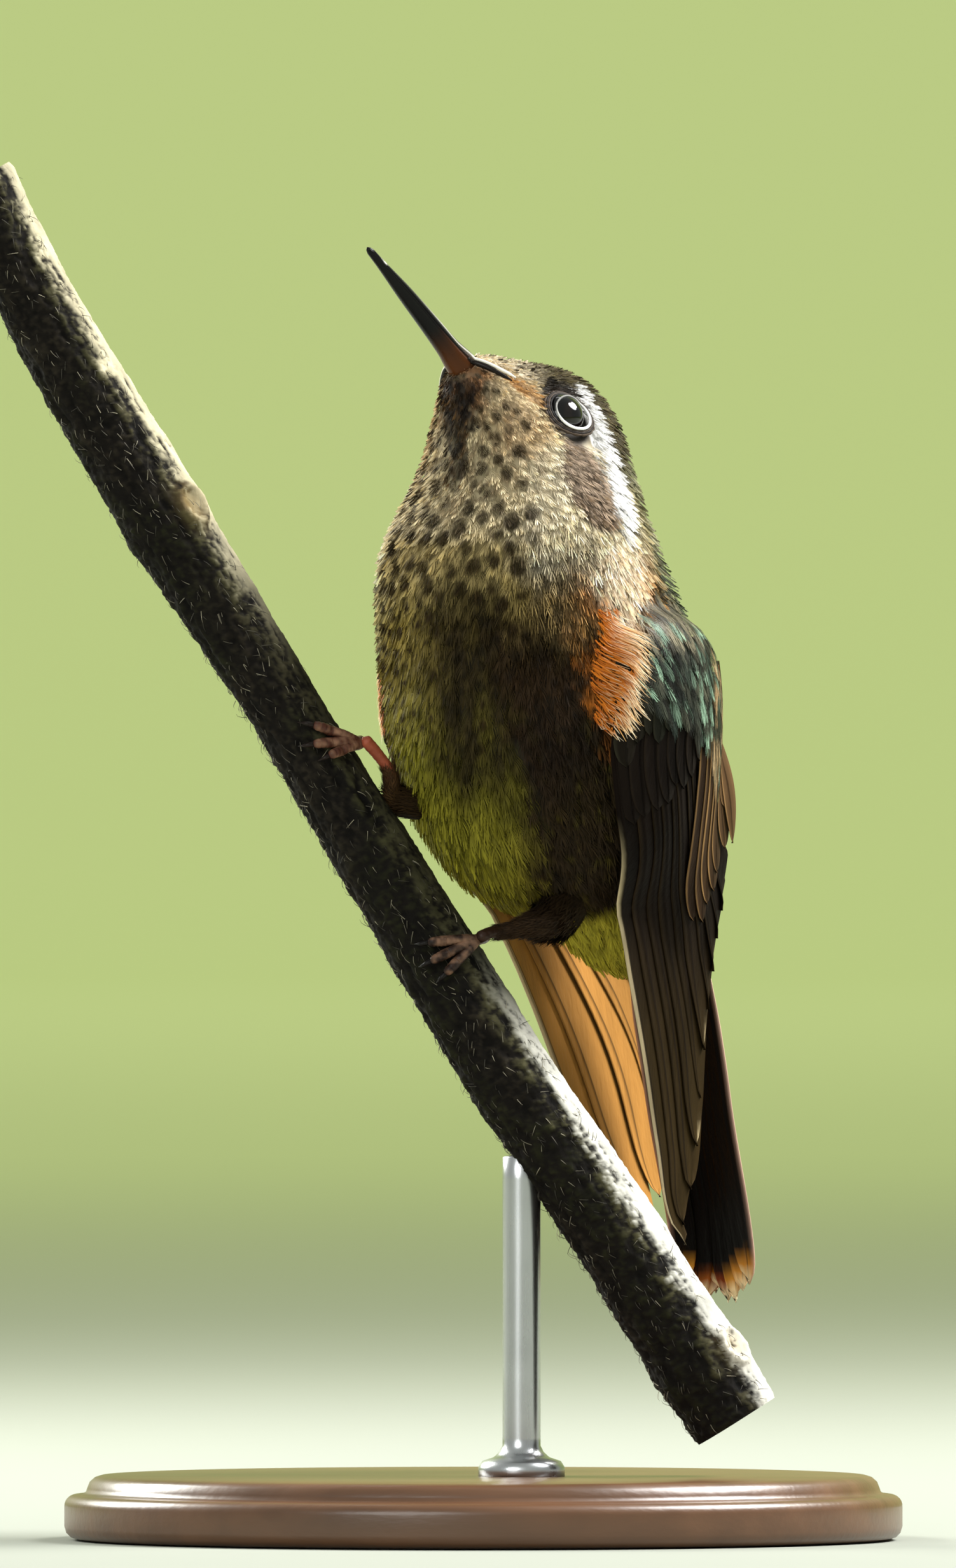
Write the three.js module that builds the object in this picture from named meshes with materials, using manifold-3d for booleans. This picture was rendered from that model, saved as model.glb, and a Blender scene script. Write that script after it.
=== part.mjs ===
// A life-size still model of a small speckled hummingbird, gripping a steep
// cut twig that a flat round base and one rod hold up.
// Millimetres, +Z up.  The origin is the centre of the base's underside.
// The bird faces the -X, -Y quarter; its bill points up and that way.
import * as THREE from 'three';
import { mergeVertices } from 'three/addons/utils/BufferGeometryUtils.js';
import Module from 'manifold-3d';

// ---------------------------------------------------------------- dimensions
const GAP = 0.3;                        // clearance between neighbouring solids
const HEADING = 50;                     // trunk: degrees from -X towards -Y
const TRUNK_AXIS = [4.0, 0.0];          // where the trunk's upright axis stands

const BILL_LENGTH = 13.9;
const BILL_BASE = [-1.55, -4.9, 92.0];  // middle of the bill's feathered root
const BILL_HEADING = 42;
const BILL_PITCH = 44;                  // the bill points up this much
const HEAD_ROLL = 11;                   // left side of the head carried higher
const BILL_ROOT_WIDTH = 2.5, BILL_ROOT_DEPTH = 2.5;
const BILL_TIP_WIDTH = 0.62, BILL_TIP_DEPTH = 0.58;

const EYE_RADIUS = 1.85;
const EYE_BACK = 7.05, EYE_UP = 0.6, EYE_OUT = 4.74;  // from the bill's root

const WING_THICK_SHOULDER = 1.5, WING_THICK_TIP = 0.6;
const WING_TOP = 72.6, WING_TIP = 23.0; // heights of the wing's two ends
const TAIL_TOP = 52.0, TAIL_TIP = 18.2; // heights of the tail's two ends
const TAIL_HALF_ROOT = 3.6, TAIL_HALF_END = 5.1;
const TAIL_TUCK = 1.2; // the right outer feathers are tucked in by this much

const PERCH_TOP = [-41.0, -3.5, 105.97];
const PERCH_END = [19.9, -3.5, 9.33];
const PERCH_RADIUS_TOP = 3.2, PERCH_RADIUS_GRIP = 2.85, PERCH_RADIUS_END = 3.65;

const TOE_RADIUS = 0.42, TOE_TIP_RADIUS = 0.27;
const SHANK_RADIUS = 0.55, THIGH_RADIUS = 1.35;

const BASE_RADIUS = 33, BASE_HEIGHT = 5, BASE_EDGE = 0.8;
const BASE_CENTRE = [0, 0];
const ROD_RADIUS = 1.5, ROD_X = 3.0;

// ------------------------------------------------------------------- helpers
const deg = (d) => (d * Math.PI) / 180;
const V = (x, y, z) => new THREE.Vector3(x, y, z);
const lerp = (a, b, t) => a + (b - a) * t;
const clamp = (x, a, b) => Math.min(b, Math.max(a, x));
const smoothStep = (a, b, x) => { const t = clamp((x - a) / (b - a), 0, 1); return t * t * (3 - 2 * t); };
const softMin = (a, b, k) => { const h = Math.max(k - Math.abs(a - b), 0) / k; return Math.min(a, b) - h * h * k / 4; };
const softMax = (a, b, k) => -softMin(-a, -b, k);

// A value that eases through a few named levels: ease(x, x0, v0, x1, v1, ...)
function ease(x, ...kv) {
  if (x <= kv[0]) return kv[1];
  for (let i = 2; i < kv.length; i += 2) {
    if (x <= kv[i]) {
      const t = (x - kv[i - 2]) / (kv[i] - kv[i - 2]);
      const m = (j) => {                       // slope at a level
        if (j <= 0 || j >= kv.length - 2) return 0;
        const a = (kv[j + 1] - kv[j - 1]) / (kv[j] - kv[j - 2]);
        const b = (kv[j + 3] - kv[j + 1]) / (kv[j + 2] - kv[j]);
        return a * b <= 0 ? 0 : (2 * a * b) / (a + b);
      };
      const h = kv[i] - kv[i - 2];
      const t2 = t * t, t3 = t2 * t;
      return (2 * t3 - 3 * t2 + 1) * kv[i - 1] + (t3 - 2 * t2 + t) * h * m(i - 2)
        + (-2 * t3 + 3 * t2) * kv[i + 1] + (t3 - t2) * h * m(i);
    }
  }
  return kv[kv.length - 1];
}

// Bird directions: forward, left and up of the trunk, and of the head.
const FWD = V(-Math.cos(deg(HEADING)), -Math.sin(deg(HEADING)), 0);
const LEFT = V(Math.sin(deg(HEADING)), -Math.cos(deg(HEADING)), 0);
const UP = V(0, 0, 1);
const bird = (f, l, z) => V(TRUNK_AXIS[0], TRUNK_AXIS[1], z).addScaledVector(FWD, f).addScaledVector(LEFT, l);

const billDir = V(-Math.cos(deg(BILL_HEADING)) * Math.cos(deg(BILL_PITCH)),
  -Math.sin(deg(BILL_HEADING)) * Math.cos(deg(BILL_PITCH)), Math.sin(deg(BILL_PITCH)));
const levelLeft = V(Math.sin(deg(BILL_HEADING)), -Math.cos(deg(BILL_HEADING)), 0);
const levelUp = new THREE.Vector3().crossVectors(billDir, levelLeft);
const headLeft = levelLeft.clone().multiplyScalar(Math.cos(deg(HEAD_ROLL))).addScaledVector(levelUp, Math.sin(deg(HEAD_ROLL)));
const headUp = levelUp.clone().multiplyScalar(Math.cos(deg(HEAD_ROLL))).addScaledVector(levelLeft, -Math.sin(deg(HEAD_ROLL)));
const billRoot = V(...BILL_BASE);
const onHead = (back, up, left) => billRoot.clone().addScaledVector(billDir, -back).addScaledVector(headUp, up).addScaledVector(headLeft, left);

// ------------------------------------------- the bird's outline, to the coat's tips
// Named masses, each an ellipsoid: centre, three axes, three half-lengths.
function mass(centre, a, b, c, ra, rb, rc) { return { centre, ax: [a, b, c], r: [ra, rb, rc] }; }
function trunkMass(f, l, z, lean, rf, rl, rz) {   // lean: degrees the top goes forward
  const up = UP.clone().multiplyScalar(Math.cos(deg(lean))).addScaledVector(FWD, Math.sin(deg(lean)));
  const fw = FWD.clone().multiplyScalar(Math.cos(deg(lean))).addScaledVector(UP, -Math.sin(deg(lean)));
  return mass(bird(f, l, z), fw, LEFT, up, rf, rl, rz);
}
function headMass(back, up, left, nod, rf, rl, ru) { // nod: degrees its front goes down
  const f = billDir.clone().multiplyScalar(Math.cos(deg(nod))).addScaledVector(headUp, -Math.sin(deg(nod)));
  const u = headUp.clone().multiplyScalar(Math.cos(deg(nod))).addScaledVector(billDir, Math.sin(deg(nod)));
  return mass(onHead(back, up, left), f, headLeft, u, rf, rl, ru);
}
const MASSES = [
  trunkMass(-0.3, 0, 67.0, 6, 12.3, 12.4, 14.2),    // breast and back
  trunkMass(-1.5, 0, 59.5, 14, 10.2, 10.2, 11.0),   // belly
  trunkMass(-8.2, 0, 56.5, 16, 6.0, 7.6, 10.5),     // rump
  trunkMass(-9.5, 0, 50.5, 24, 3.6, 4.4, 6.4),      // under-tail coverts
  trunkMass(-13.0, 0, 52.5, 13, 2.3, 4.2, 7.0),     // upper-tail coverts
  trunkMass(3.0, 0, 75.6, 14, 9.6, 10.6, 8.8),      // crop
  trunkMass(-4.6, 0, 66.0, 8, 8.2, 8.8, 11.5),      // mantle
  trunkMass(1.0, 0, 78.6, 8, 8.6, 9.2, 8.6),        // neck
  headMass(10.8, 1.35, 0, 8, 7.3, 6.0, 6.9),        // cranium
  headMass(8.4, -2.6, 0, -6, 6.0, 5.5, 5.0),        // cheeks and throat
  headMass(3.8, 0.0, 0, 4, 4.5, 2.8, 2.8),          // face, tapering to the bill
];
const BLEND = 4.2;
function ellipsoidDistance(p, m) {
  const q = p.clone().sub(m.centre);
  const c = [q.dot(m.ax[0]), q.dot(m.ax[1]), q.dot(m.ax[2])];
  const k0 = Math.hypot(c[0] / m.r[0], c[1] / m.r[1], c[2] / m.r[2]);
  const k1 = Math.hypot(c[0] / m.r[0] ** 2, c[1] / m.r[1] ** 2, c[2] / m.r[2] ** 2);
  return k1 < 1e-9 ? -Math.min(...m.r) : (k0 * (k0 - 1)) / k1;
}
function bodyDistance(p) {
  let d = 1e9;
  for (const m of MASSES) d = softMin(d, ellipsoidDistance(p, m), BLEND);
  return d;
}
function reach(origin, dir, out = 0) {  // from inside, along dir, to the outline
  let a = 0, b = 0.2;
  const at = (t) => bodyDistance(origin.clone().addScaledVector(dir, t)) - out;
  while (at(b) < 0 && b < 40) { a = b; b += 0.5; }
  for (let i = 0; i < 30; i++) { const m = (a + b) / 2; if (at(m) < 0) a = m; else b = m; }
  return (a + b) / 2;
}

// The body's curved middle line, from the vent to the face.
const spine = new THREE.CatmullRomCurve3([
  bird(-8.2, 0, 51.5), bird(-4.6, 0, 58), bird(-1.0, 0, 67), bird(0.2, 0, 76),
  onHead(10.6, -1.8, 0), onHead(6.2, -0.3, 0), onHead(1.2, 0, 0),
], false, 'centripetal');
const SPINE_STEPS = 240;
const frames = (() => {                  // frames carried along without twist
  const list = []; let left = LEFT.clone();
  for (let i = 0; i <= SPINE_STEPS; i++) {
    const t = i / SPINE_STEPS, tangent = V(0, 0, 0);   // direction, evened out along the line
    for (let k = -12; k <= 12; k++) tangent.addScaledVector(spine.getTangentAt(clamp(t + k * 0.0125, 0, 1)), 1 - Math.abs(k) / 13);
    tangent.normalize();
    left = left.clone().addScaledVector(tangent, -left.dot(tangent)).normalize();
    const front = new THREE.Vector3().crossVectors(left, tangent).normalize();
    list.push({ p: spine.getPointAt(t), tangent, left, front });
  }
  return list;
})();
function frameAt(t) {
  const x = clamp(t, 0, 1) * SPINE_STEPS, i = Math.min(SPINE_STEPS - 1, Math.floor(x)), k = x - i;
  const mix = (n) => frames[i][n].clone().lerp(frames[i + 1][n], k);
  const tangent = mix('tangent').normalize();
  const left = mix('left'); left.addScaledVector(tangent, -left.dot(tangent)).normalize();
  return { p: mix('p'), tangent, left, front: new THREE.Vector3().crossVectors(left, tangent).normalize() };
}

// ----------------------------------------------------------- mesh construction
function geometryOf(points, faces) {
  const g = new THREE.BufferGeometry();
  g.setAttribute('position', new THREE.Float32BufferAttribute(points.flatMap((p) => [p.x, p.y, p.z]), 3));
  g.setIndex(faces.flat());
  return g;
}
// Closed loft: rings of equal count, a point at each end.
function closedLoft(start, rings, end) {
  const points = [start], faces = [], n = rings[0].length;
  rings.forEach((r) => points.push(...r));
  points.push(end);
  const at = (i, j) => 1 + i * n + ((j + n) % n), last = points.length - 1;
  for (let j = 0; j < n; j++) {
    faces.push([0, at(0, j + 1), at(0, j)]);
    faces.push([last, at(rings.length - 1, j), at(rings.length - 1, j + 1)]);
  }
  for (let i = 0; i < rings.length - 1; i++) {
    for (let j = 0; j < n; j++) {
      faces.push([at(i, j), at(i, j + 1), at(i + 1, j + 1)]);
      faces.push([at(i, j), at(i + 1, j + 1), at(i + 1, j)]);
    }
  }
  return orientOut(points, faces);
}
function orientOut(points, faces) {      // turn the faces outwards
  let vol = 0;
  for (const [a, b, c] of faces) vol += points[a].dot(new THREE.Vector3().crossVectors(points[b], points[c]));
  return geometryOf(points, vol < 0 ? faces.map(([a, b, c]) => [a, c, b]) : faces);
}
// A round tube through a list of points with a radius at each, ends rounded off.
function limb(points, radii, sides = 8, finer = 2) {
  const curve = new THREE.CatmullRomCurve3(points, false, 'centripetal');
  const rings = []; const steps = (points.length - 1) * finer; let left = null;
  const start = points[0].clone(), end = points[points.length - 1].clone();
  for (let i = 0; i <= steps; i++) {
    const t = i / steps, p = curve.getPoint(t), tan = curve.getTangent(t);
    if (!left) { left = Math.abs(tan.z) < 0.9 ? V(0, 0, 1) : V(0, 1, 0); }
    left = left.clone().addScaledVector(tan, -left.dot(tan)).normalize();
    const other = new THREE.Vector3().crossVectors(tan, left);
    const x = t * (points.length - 1), k = Math.min(points.length - 2, Math.floor(x));
    const r = lerp(radii[k], radii[k + 1], x - k);
    if (i === 0) start.addScaledVector(tan, -r * 0.35);
    if (i === steps) end.addScaledVector(tan, r * 0.5);
    rings.push(Array.from({ length: sides }, (_, j) => {
      const a = (2 * Math.PI * j) / sides;
      return p.clone().addScaledVector(left, r * Math.cos(a)).addScaledVector(other, r * Math.sin(a));
    }));
  }
  return closedLoft(start, rings, end);
}
// A thin plate over a grid: under(i,j) and over(i,j) give its two faces.
function plate(nu, nv, under, over) {
  const points = [], faces = [];
  const id = (s, i, j) => s * (nu + 1) * (nv + 1) + i * (nv + 1) + j;
  for (const face of [under, over]) for (let i = 0; i <= nu; i++) for (let j = 0; j <= nv; j++) points.push(face(i / nu, j / nv));
  for (let i = 0; i < nu; i++) for (let j = 0; j < nv; j++) {
    faces.push([id(0, i, j), id(0, i + 1, j), id(0, i + 1, j + 1)], [id(0, i, j), id(0, i + 1, j + 1), id(0, i, j + 1)]);
    faces.push([id(1, i, j), id(1, i + 1, j + 1), id(1, i + 1, j)], [id(1, i, j), id(1, i, j + 1), id(1, i + 1, j + 1)]);
  }
  const rim = [];
  for (let j = 0; j < nv; j++) rim.push([0, j]);
  for (let i = 0; i < nu; i++) rim.push([i, nv]);
  for (let j = nv; j > 0; j--) rim.push([nu, j]);
  for (let i = nu; i > 0; i--) rim.push([i, 0]);
  rim.forEach(([i, j], k) => {
    const [i2, j2] = rim[(k + 1) % rim.length];
    faces.push([id(0, i, j), id(0, i2, j2), id(1, i2, j2)], [id(0, i, j), id(1, i2, j2), id(1, i, j)]);
  });
  return orientOut(points, faces);
}
const wasm = await Module(); wasm.setup();
function solidOf(geometry) {
  const g = geometry.clone(); g.deleteAttribute('normal'); g.deleteAttribute('uv');
  const m = mergeVertices(g, 1e-4);
  return new wasm.Manifold(new wasm.Mesh({
    numProp: 3, vertProperties: new Float32Array(m.attributes.position.array), triVerts: new Uint32Array(m.index.array),
  }));
}
function geometryFrom(solid) {
  const m = solid.getMesh(), g = new THREE.BufferGeometry();
  g.setAttribute('position', new THREE.BufferAttribute(new Float32Array(m.vertProperties), 3));
  g.setIndex(new THREE.BufferAttribute(new Uint32Array(m.triVerts), 1));
  return g;
}

const root = new THREE.Group();
root.name = 'speckled_hummingbird';
function add(name, geometry, colour, roughness = 0.7, metalness = 0, parent = root) {
  geometry.computeVertexNormals();
  const mesh = new THREE.Mesh(geometry, new THREE.MeshStandardMaterial({ color: colour, roughness, metalness }));
  mesh.name = name;
  parent.add(mesh);
  return mesh;
}

// --------------------------------------------------------- trunk, neck and head
const SIDES = 32;
const CUT_NECK = 0.50, CUT_HEAD = 0.655;  // along the middle line
function ring(f, shift, alpha) {          // alpha turns the rays towards an end
  const o = f.p.clone().addScaledVector(f.tangent, shift);
  return Array.from({ length: SIDES }, (_, j) => {
    const a = (2 * Math.PI * j) / SIDES;
    const dir = f.front.clone().multiplyScalar(Math.cos(a) * Math.cos(alpha))
      .addScaledVector(f.left, Math.sin(a) * Math.cos(alpha)).addScaledVector(f.tangent, Math.sin(alpha));
    return o.clone().addScaledVector(dir, reach(o, dir));
  });
}
function bodyLength(t0, t1, count, lowCut, highCut) {
  const rings = [], a = frameAt(t0), b = frameAt(t1);
  if (lowCut) rings.push(ring(a, GAP * 0.55, 0));
  const start = lowCut ? a.p.clone().addScaledVector(a.tangent, GAP * 0.55) : a.p.clone().addScaledVector(a.tangent, -reach(a.p, a.tangent.clone().negate()));
  for (let i = lowCut ? 1 : 0; i < count; i++) {
    const t = lerp(t0, t1, i / count);
    rings.push(ring(frameAt(t), 0, 0));
  }
  if (highCut) rings.push(ring(b, -GAP * 0.55, 0));
  return { rings, start, end: b.p.clone().addScaledVector(b.tangent, -GAP * 0.55) };
}
// The trunk's lower end: rays fan down from the vent.
const trunkPart = bodyLength(0, CUT_NECK, 17, false, true);
const vent = frameAt(0);
const ventRings = [];
for (const a of [-80, -68, -56, -44, -33, -22, -11]) ventRings.push(ring(vent, 0, deg(a)));
const trunkGeometry = closedLoft(trunkPart.start, [...ventRings, ...trunkPart.rings], trunkPart.end);

const neckPart = bodyLength(CUT_NECK, CUT_HEAD, 4, true, true);
const neckGeometry = closedLoft(neckPart.start, neckPart.rings, neckPart.end);

// The head: rays close in on the bill's root, where the face ends in a small flat.
const headRings = [ring(frameAt(CUT_HEAD), GAP * 0.55, 0)];
const HEAD_STEPS = 11, FACE_TURN = 0.87;
for (let i = 1; i <= HEAD_STEPS; i++) headRings.push(ring(frameAt(lerp(CUT_HEAD, FACE_TURN, i / HEAD_STEPS)), 0, 0));
const faceFrame = frameAt(FACE_TURN);
for (const a of [9, 18, 27, 36, 45, 54, 62, 69, 75]) headRings.push(ring(faceFrame, 0, deg(a)));
// flatten the very front to a plane just behind the bill's root
const facePlane = (p) => p.clone().sub(billRoot).dot(billDir);
const keep = headRings.filter((r) => Math.max(...r.map(facePlane)) < -0.25);
const front = keep[keep.length - 1].map((p) => {
  const centre = billRoot.clone(), rel = p.clone().sub(billRoot);
  rel.addScaledVector(billDir, -rel.dot(billDir));
  return centre.addScaledVector(rel.normalize(), 1.0);
});
const neckEnd = frameAt(CUT_HEAD);
let headGeometry = closedLoft(neckEnd.p.clone().addScaledVector(neckEnd.tangent, GAP * 0.55), [...keep, front], billRoot.clone());

// Eyes: balls set into the head, each in a socket a little wider than itself.
const eyePlace = { left: onHead(EYE_BACK, EYE_UP, EYE_OUT), right: onHead(EYE_BACK, EYE_UP, -EYE_OUT) };
const ball = (centre, r, w = 16, h = 10) => {
  const rings = [], out = new THREE.Vector3().subVectors(centre, onHead(EYE_BACK, EYE_UP, 0)).normalize();
  const a = headUp.clone(), b = new THREE.Vector3().crossVectors(out, a);
  for (let i = 1; i < h; i++) {
    const t = (Math.PI * i) / h;
    rings.push(Array.from({ length: w }, (_, j) => {
      const s = (2 * Math.PI * j) / w;
      return centre.clone().addScaledVector(out, r * Math.cos(t)).addScaledVector(a, r * Math.sin(t) * Math.cos(s)).addScaledVector(b, r * Math.sin(t) * Math.sin(s));
    }));
  }
  return closedLoft(centre.clone().addScaledVector(out, r), rings, centre.clone().addScaledVector(out, -r));
};
let headSolid = solidOf(headGeometry);
for (const side of ['left', 'right']) headSolid = headSolid.subtract(solidOf(ball(eyePlace[side], EYE_RADIUS + GAP)));
headGeometry = geometryFrom(headSolid);

add('trunk', trunkGeometry, 0x6f6a35);
add('neck', neckGeometry, 0xb59a6a);
add('head', headGeometry, 0x8a7a5c);
add('eye_left', ball(eyePlace.left, EYE_RADIUS), 0x0b0907, 0.1);
add('eye_right', ball(eyePlace.right, EYE_RADIUS), 0x0b0907, 0.1);

// ------------------------------------------------------------------------ bill
// Two halves, nearly straight, meeting along a fine line; each is a half section.
function billHalf(sign) {
  const steps = 12, n = 7, rings = [];
  for (let i = 0; i <= steps; i++) {
    const t = i / steps, s = lerp(GAP, BILL_LENGTH, t);
    const taper = ease(t, 0, 1, 0.18, 0.66, 0.6, 0.36, 1, 0);
    const w = lerp(BILL_TIP_WIDTH, BILL_ROOT_WIDTH, taper) / 2, h = lerp(BILL_TIP_DEPTH, BILL_ROOT_DEPTH, taper) / 2;
    const droop = -0.35 * t * t;                     // the faintest downward curve
    const c = billRoot.clone().addScaledVector(billDir, s).addScaledVector(headUp, droop);
    const slit = 0.06;
    const pts = [];
    for (let j = 0; j <= n; j++) {
      const a = (Math.PI * j) / n;
      pts.push(c.clone().addScaledVector(headLeft, w * Math.cos(a)).addScaledVector(headUp, sign * (slit + Math.max(0, h - slit) * Math.sin(a) * (sign > 0 ? 1.05 : 0.9))));
    }
    rings.push(pts);
  }
  const mid = (r) => r.reduce((s, p) => s.add(p), V(0, 0, 0)).multiplyScalar(1 / r.length);
  return closedLoft(mid(rings[0]), rings, mid(rings[rings.length - 1]).addScaledVector(billDir, 0.3));
}
add('bill_upper', billHalf(1), 0x0c0a08, 0.25);
add('bill_lower', billHalf(-1), 0x2a1608, 0.3);

// ----------------------------------------------------------------------- wings
// A folded wing lies along the flank.  In the bird's side view its front edge
// runs from the shoulder back to the tip, its rear edge hangs almost plumb.
const wingLead = (z) => ease(z, 23, -12.8, 24.5, -11.2, 31, -8.6, 38, -6.2, 44, -3.8, 48.5, -1.8, 53, 0.9, 58, 3.6, 63, 5.0, 68, 5.0, 71, 3.6, 72.4, 1.6, 72.6, 0.2);
const wingLeadRight = (z) => ease(z, 23, -18.6, 25, -16.4, 30, -12.8, 36, -9.6, 41.3, -7.1, 46, -4.7, 50, -2.5, 54, -0.2, 58, 1.8, 63, 3.3, 68, 3.3, 71, 1.9, 72.4, -0.1, 72.6, -1.5);
const wingTrail = { // the right wing hangs a little more open than the left
  left: (z) => ease(z, 23, -13.9, 24.8, -15.2, 33, -15.0, 42, -14.8, 47, -15.0, 53, -15.5, 59, -15.0, 64, -13.5, 68, -10.9, 71, -7.4, 72.4, -4.2, 72.6, -2.4),
  right: (z) => ease(z, 23, -21.2, 25.5, -23.3, 31, -23.3, 38, -22.8, 44, -22.0, 48, -20.9, 52, -18.6, 56, -16.0, 60, -14.7, 64, -13.5, 68, -10.9, 71, -7.4, 72.4, -4.2, 72.6, -2.4),
};
// How far out from the bird's middle plane the wing's inner face lies.
const wingPlane = (z, v, side) => lerp(
  ease(z, 23, 4.2, 31, 4.9, 44, 6.1, 50, 6.9, 58, 7.6, 72.6, 7.4),
  ease(z, 23, 3.9, 31, 4.4, 44, 5.6, 50, 6.4, 58, 7.2, 72.6, 5.0), v)
  + (side === 'right' ? 1.6 * v * smoothStep(20, 29, z) * (1 - smoothStep(48, 56, z)) : 0);
function flankAt(f, z) {                 // the body's side surface, or -1 if missed
  let l = -1;
  for (let s = 14; s > 0; s -= 0.25) if (bodyDistance(bird(f, s, z)) < 0) { l = s; break; }
  if (l < 0) return -1;
  let a = l, b = l + 0.25;
  for (let i = 0; i < 20; i++) { const m = (a + b) / 2; if (bodyDistance(bird(f, m, z)) < 0) a = m; else b = m; }
  return a;
}
function wing(side) {
  const sign = side === 'left' ? 1 : -1, NU = 19, NV = 7;
  const inner = (u, v) => {
    const z = lerp(WING_TOP, WING_TIP, 0.25 * u * u + 0.75 * u ** 1.25);
    const lead = side === 'left' ? wingLead(z) : wingLeadRight(z);
    const f = lerp(lead, wingTrail[side](z), v);
    let clear = -1;                     // stay clear of the body all round the point
    for (const [df, dz] of [[0, 0], [0.8, 0], [-0.8, 0], [0, 1.2], [0, -1.2]]) clear = Math.max(clear, flankAt(f + df, z + dz));
    return { f, z, l: softMax(wingPlane(z, v, side), clear + GAP + 0.12, 1.2) };
  };
  const thick = (u, v) => {
    const along = ease(u, 0, 0.9, 0.12, WING_THICK_SHOULDER, 0.4, 1.1, 1, WING_THICK_TIP);
    return Math.max(0.55, along * (0.62 + 0.38 * Math.sin(Math.PI * clamp(v * 0.8 + 0.2, 0, 1))));
  };
  return plate(NU, NV,
    (u, v) => { const q = inner(u, v); return bird(q.f, sign * q.l, q.z); },
    (u, v) => { const q = inner(u, v); return bird(q.f, sign * (q.l + thick(u, v)), q.z); });
}
add('wing_left', wing('left'), 0x2a211b, 0.6);
add('wing_right', wing('right'), 0x3a2a1c, 0.6);

// ------------------------------------------------------------------------ tail
// A closed fan, slightly arched from side to side; five feather ends show.
const tailMid = (z) => ease(z, 19, -21.6, 35, -18.2, 52, -15.0);
function tail() {
  const NU = 8, NV = 20;
  const endHeight = (v) => {            // v from -1 to 1 across the fan
    const lobe = Math.abs(((Math.abs(v) * 2.5 + 0.5) % 1) - 0.5) * 2;
    return TAIL_TIP + 1.5 * v * v + 0.9 * lobe ** 2 * 0.6;
  };
  const point = (u, vv, side) => {
    const v = vv * 2 - 1;
    let zTop = TAIL_TOP;
    const at = (z) => {
      const half = ease(z, 19, TAIL_HALF_END, 40, 5.2, 47, 4.6, 52, TAIL_HALF_ROOT);
      return { l: v * (v < 0 ? half - TAIL_TUCK : half), f: tailMid(z) - 0.9 * (1 - v * v) };
    };
    const tk = (z) => ease(z, 19, 0.55, 52, 1.1);
    for (let z = 30; z <= 60; z += 0.25) {            // stop clear of the coverts
      const q = at(z), c = Math.min(bodyDistance(bird(q.f + tk(z) / 2, q.l, z)), bodyDistance(bird(q.f - tk(z) / 2, q.l, z)));
      if (c < GAP + 0.1) { zTop = z - 0.25; break; }
    }
    zTop = Math.min(zTop, TAIL_TOP);
    const z = lerp(zTop, endHeight(v), u), q = at(z);
    return bird(q.f + side * tk(z) / 2, q.l, z);
  };
  return plate(NU, NV, (u, v) => point(u, v, 1), (u, v) => point(u, v, -1));
}
add('tail', tail(), 0x2c1c12, 0.6);

// ----------------------------------------------------------------------- perch
const perchTop = V(...PERCH_TOP), perchEnd = V(...PERCH_END);
const perchDir = new THREE.Vector3().subVectors(perchEnd, perchTop).normalize();
const perchLength = perchTop.distanceTo(perchEnd);
const perchSide = V(0, -1, 0);                                   // faces -Y
const perchOut = V(-perchDir.z, 0, perchDir.x).normalize();      // up and to +X
const perchBow = (s) => ease(s, 0, 1.4, 5, 0.75, 10, 0.42, 22, 0, 50, -0.25, 80, -0.53, 96, -0.2, 114, 0.1);   // its slight bends
const perchAxis = (s) => perchTop.clone().addScaledVector(perchDir, s).addScaledVector(perchOut, perchBow(s));
const perchRadius = (s) => ease(s, 0, PERCH_RADIUS_TOP, 12, 3.08, 28, 3.3, 50, PERCH_RADIUS_GRIP, 70, 3.33, 92, 3.5, perchLength, PERCH_RADIUS_END)
  + 0.2 * Math.exp(-(((s - 30.5) / 1.6) ** 2)) + 0.2 * Math.exp(-(((s - 109) / 1.8) ** 2));   // two leaf scars
function perch() {
  const rings = [], n = 14;
  const stations = []; for (let i = 0; i <= 23; i++) stations.push((perchLength * i) / 23);
  for (const s of stations) {
    rings.push(Array.from({ length: n }, (_, j) => {
      const a = (2 * Math.PI * j) / n, r = perchRadius(s);
      return perchAxis(s).addScaledVector(perchOut, r * Math.cos(a)).addScaledVector(perchSide, r * Math.sin(a));
    }));
  }
  return closedLoft(perchAxis(0), rings, perchAxis(perchLength));
}
add('perch', perch(), 0x3b342c, 0.9);
// a point on the perch, s along it, a degrees round from its upper side towards -Y
const onPerch = (s, a, off) => {
  const r = perchRadius(s) + off;
  return perchAxis(s).addScaledVector(perchOut, r * Math.cos(deg(a))).addScaledVector(perchSide, r * Math.sin(deg(a)));
};

// --------------------------------------------------------------- legs and feet
// Three toes reach over the perch's near side, one goes behind it.  Each toe is
// a jointed tube that follows the bark and ends in a curved claw.
function foot(s0, a0, toes) {
  const off = GAP + TOE_RADIUS + 0.08;
  let whole = null;
  for (const [along, turn] of toes) {
    const pts = [], radii = [], n = 6;
    for (let i = 0; i <= n; i++) {
      const t = i / n, knuckle = 0.22 * Math.abs(Math.sin(Math.PI * t * 2)) * (t < 0.75 ? 1 : 0);
      const lift = t > 0.75 ? 0.25 * Math.sin(Math.PI * (t - 0.75) / 0.25) - 0.12 * (t - 0.75) / 0.25 : knuckle;
      pts.push(onPerch(s0 + along * t ** 0.9, a0 + turn * t, off + lift + (i === 0 ? 0.2 : 0)));
      radii.push(ease(t, 0, TOE_RADIUS * 1.1, 0.4, TOE_RADIUS * 0.95, 0.74, TOE_RADIUS * 0.9, 0.84, 0.32, 1, TOE_TIP_RADIUS));
    }
    const toe = solidOf(limb(pts, radii, 7));
    whole = whole ? whole.add(toe) : toe;
  }
  return geometryFrom(whole);
}
const FOOT_LEFT = { s: 71.3, a: 40 }, FOOT_RIGHT = { s: 53.4, a: 22 };
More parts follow.
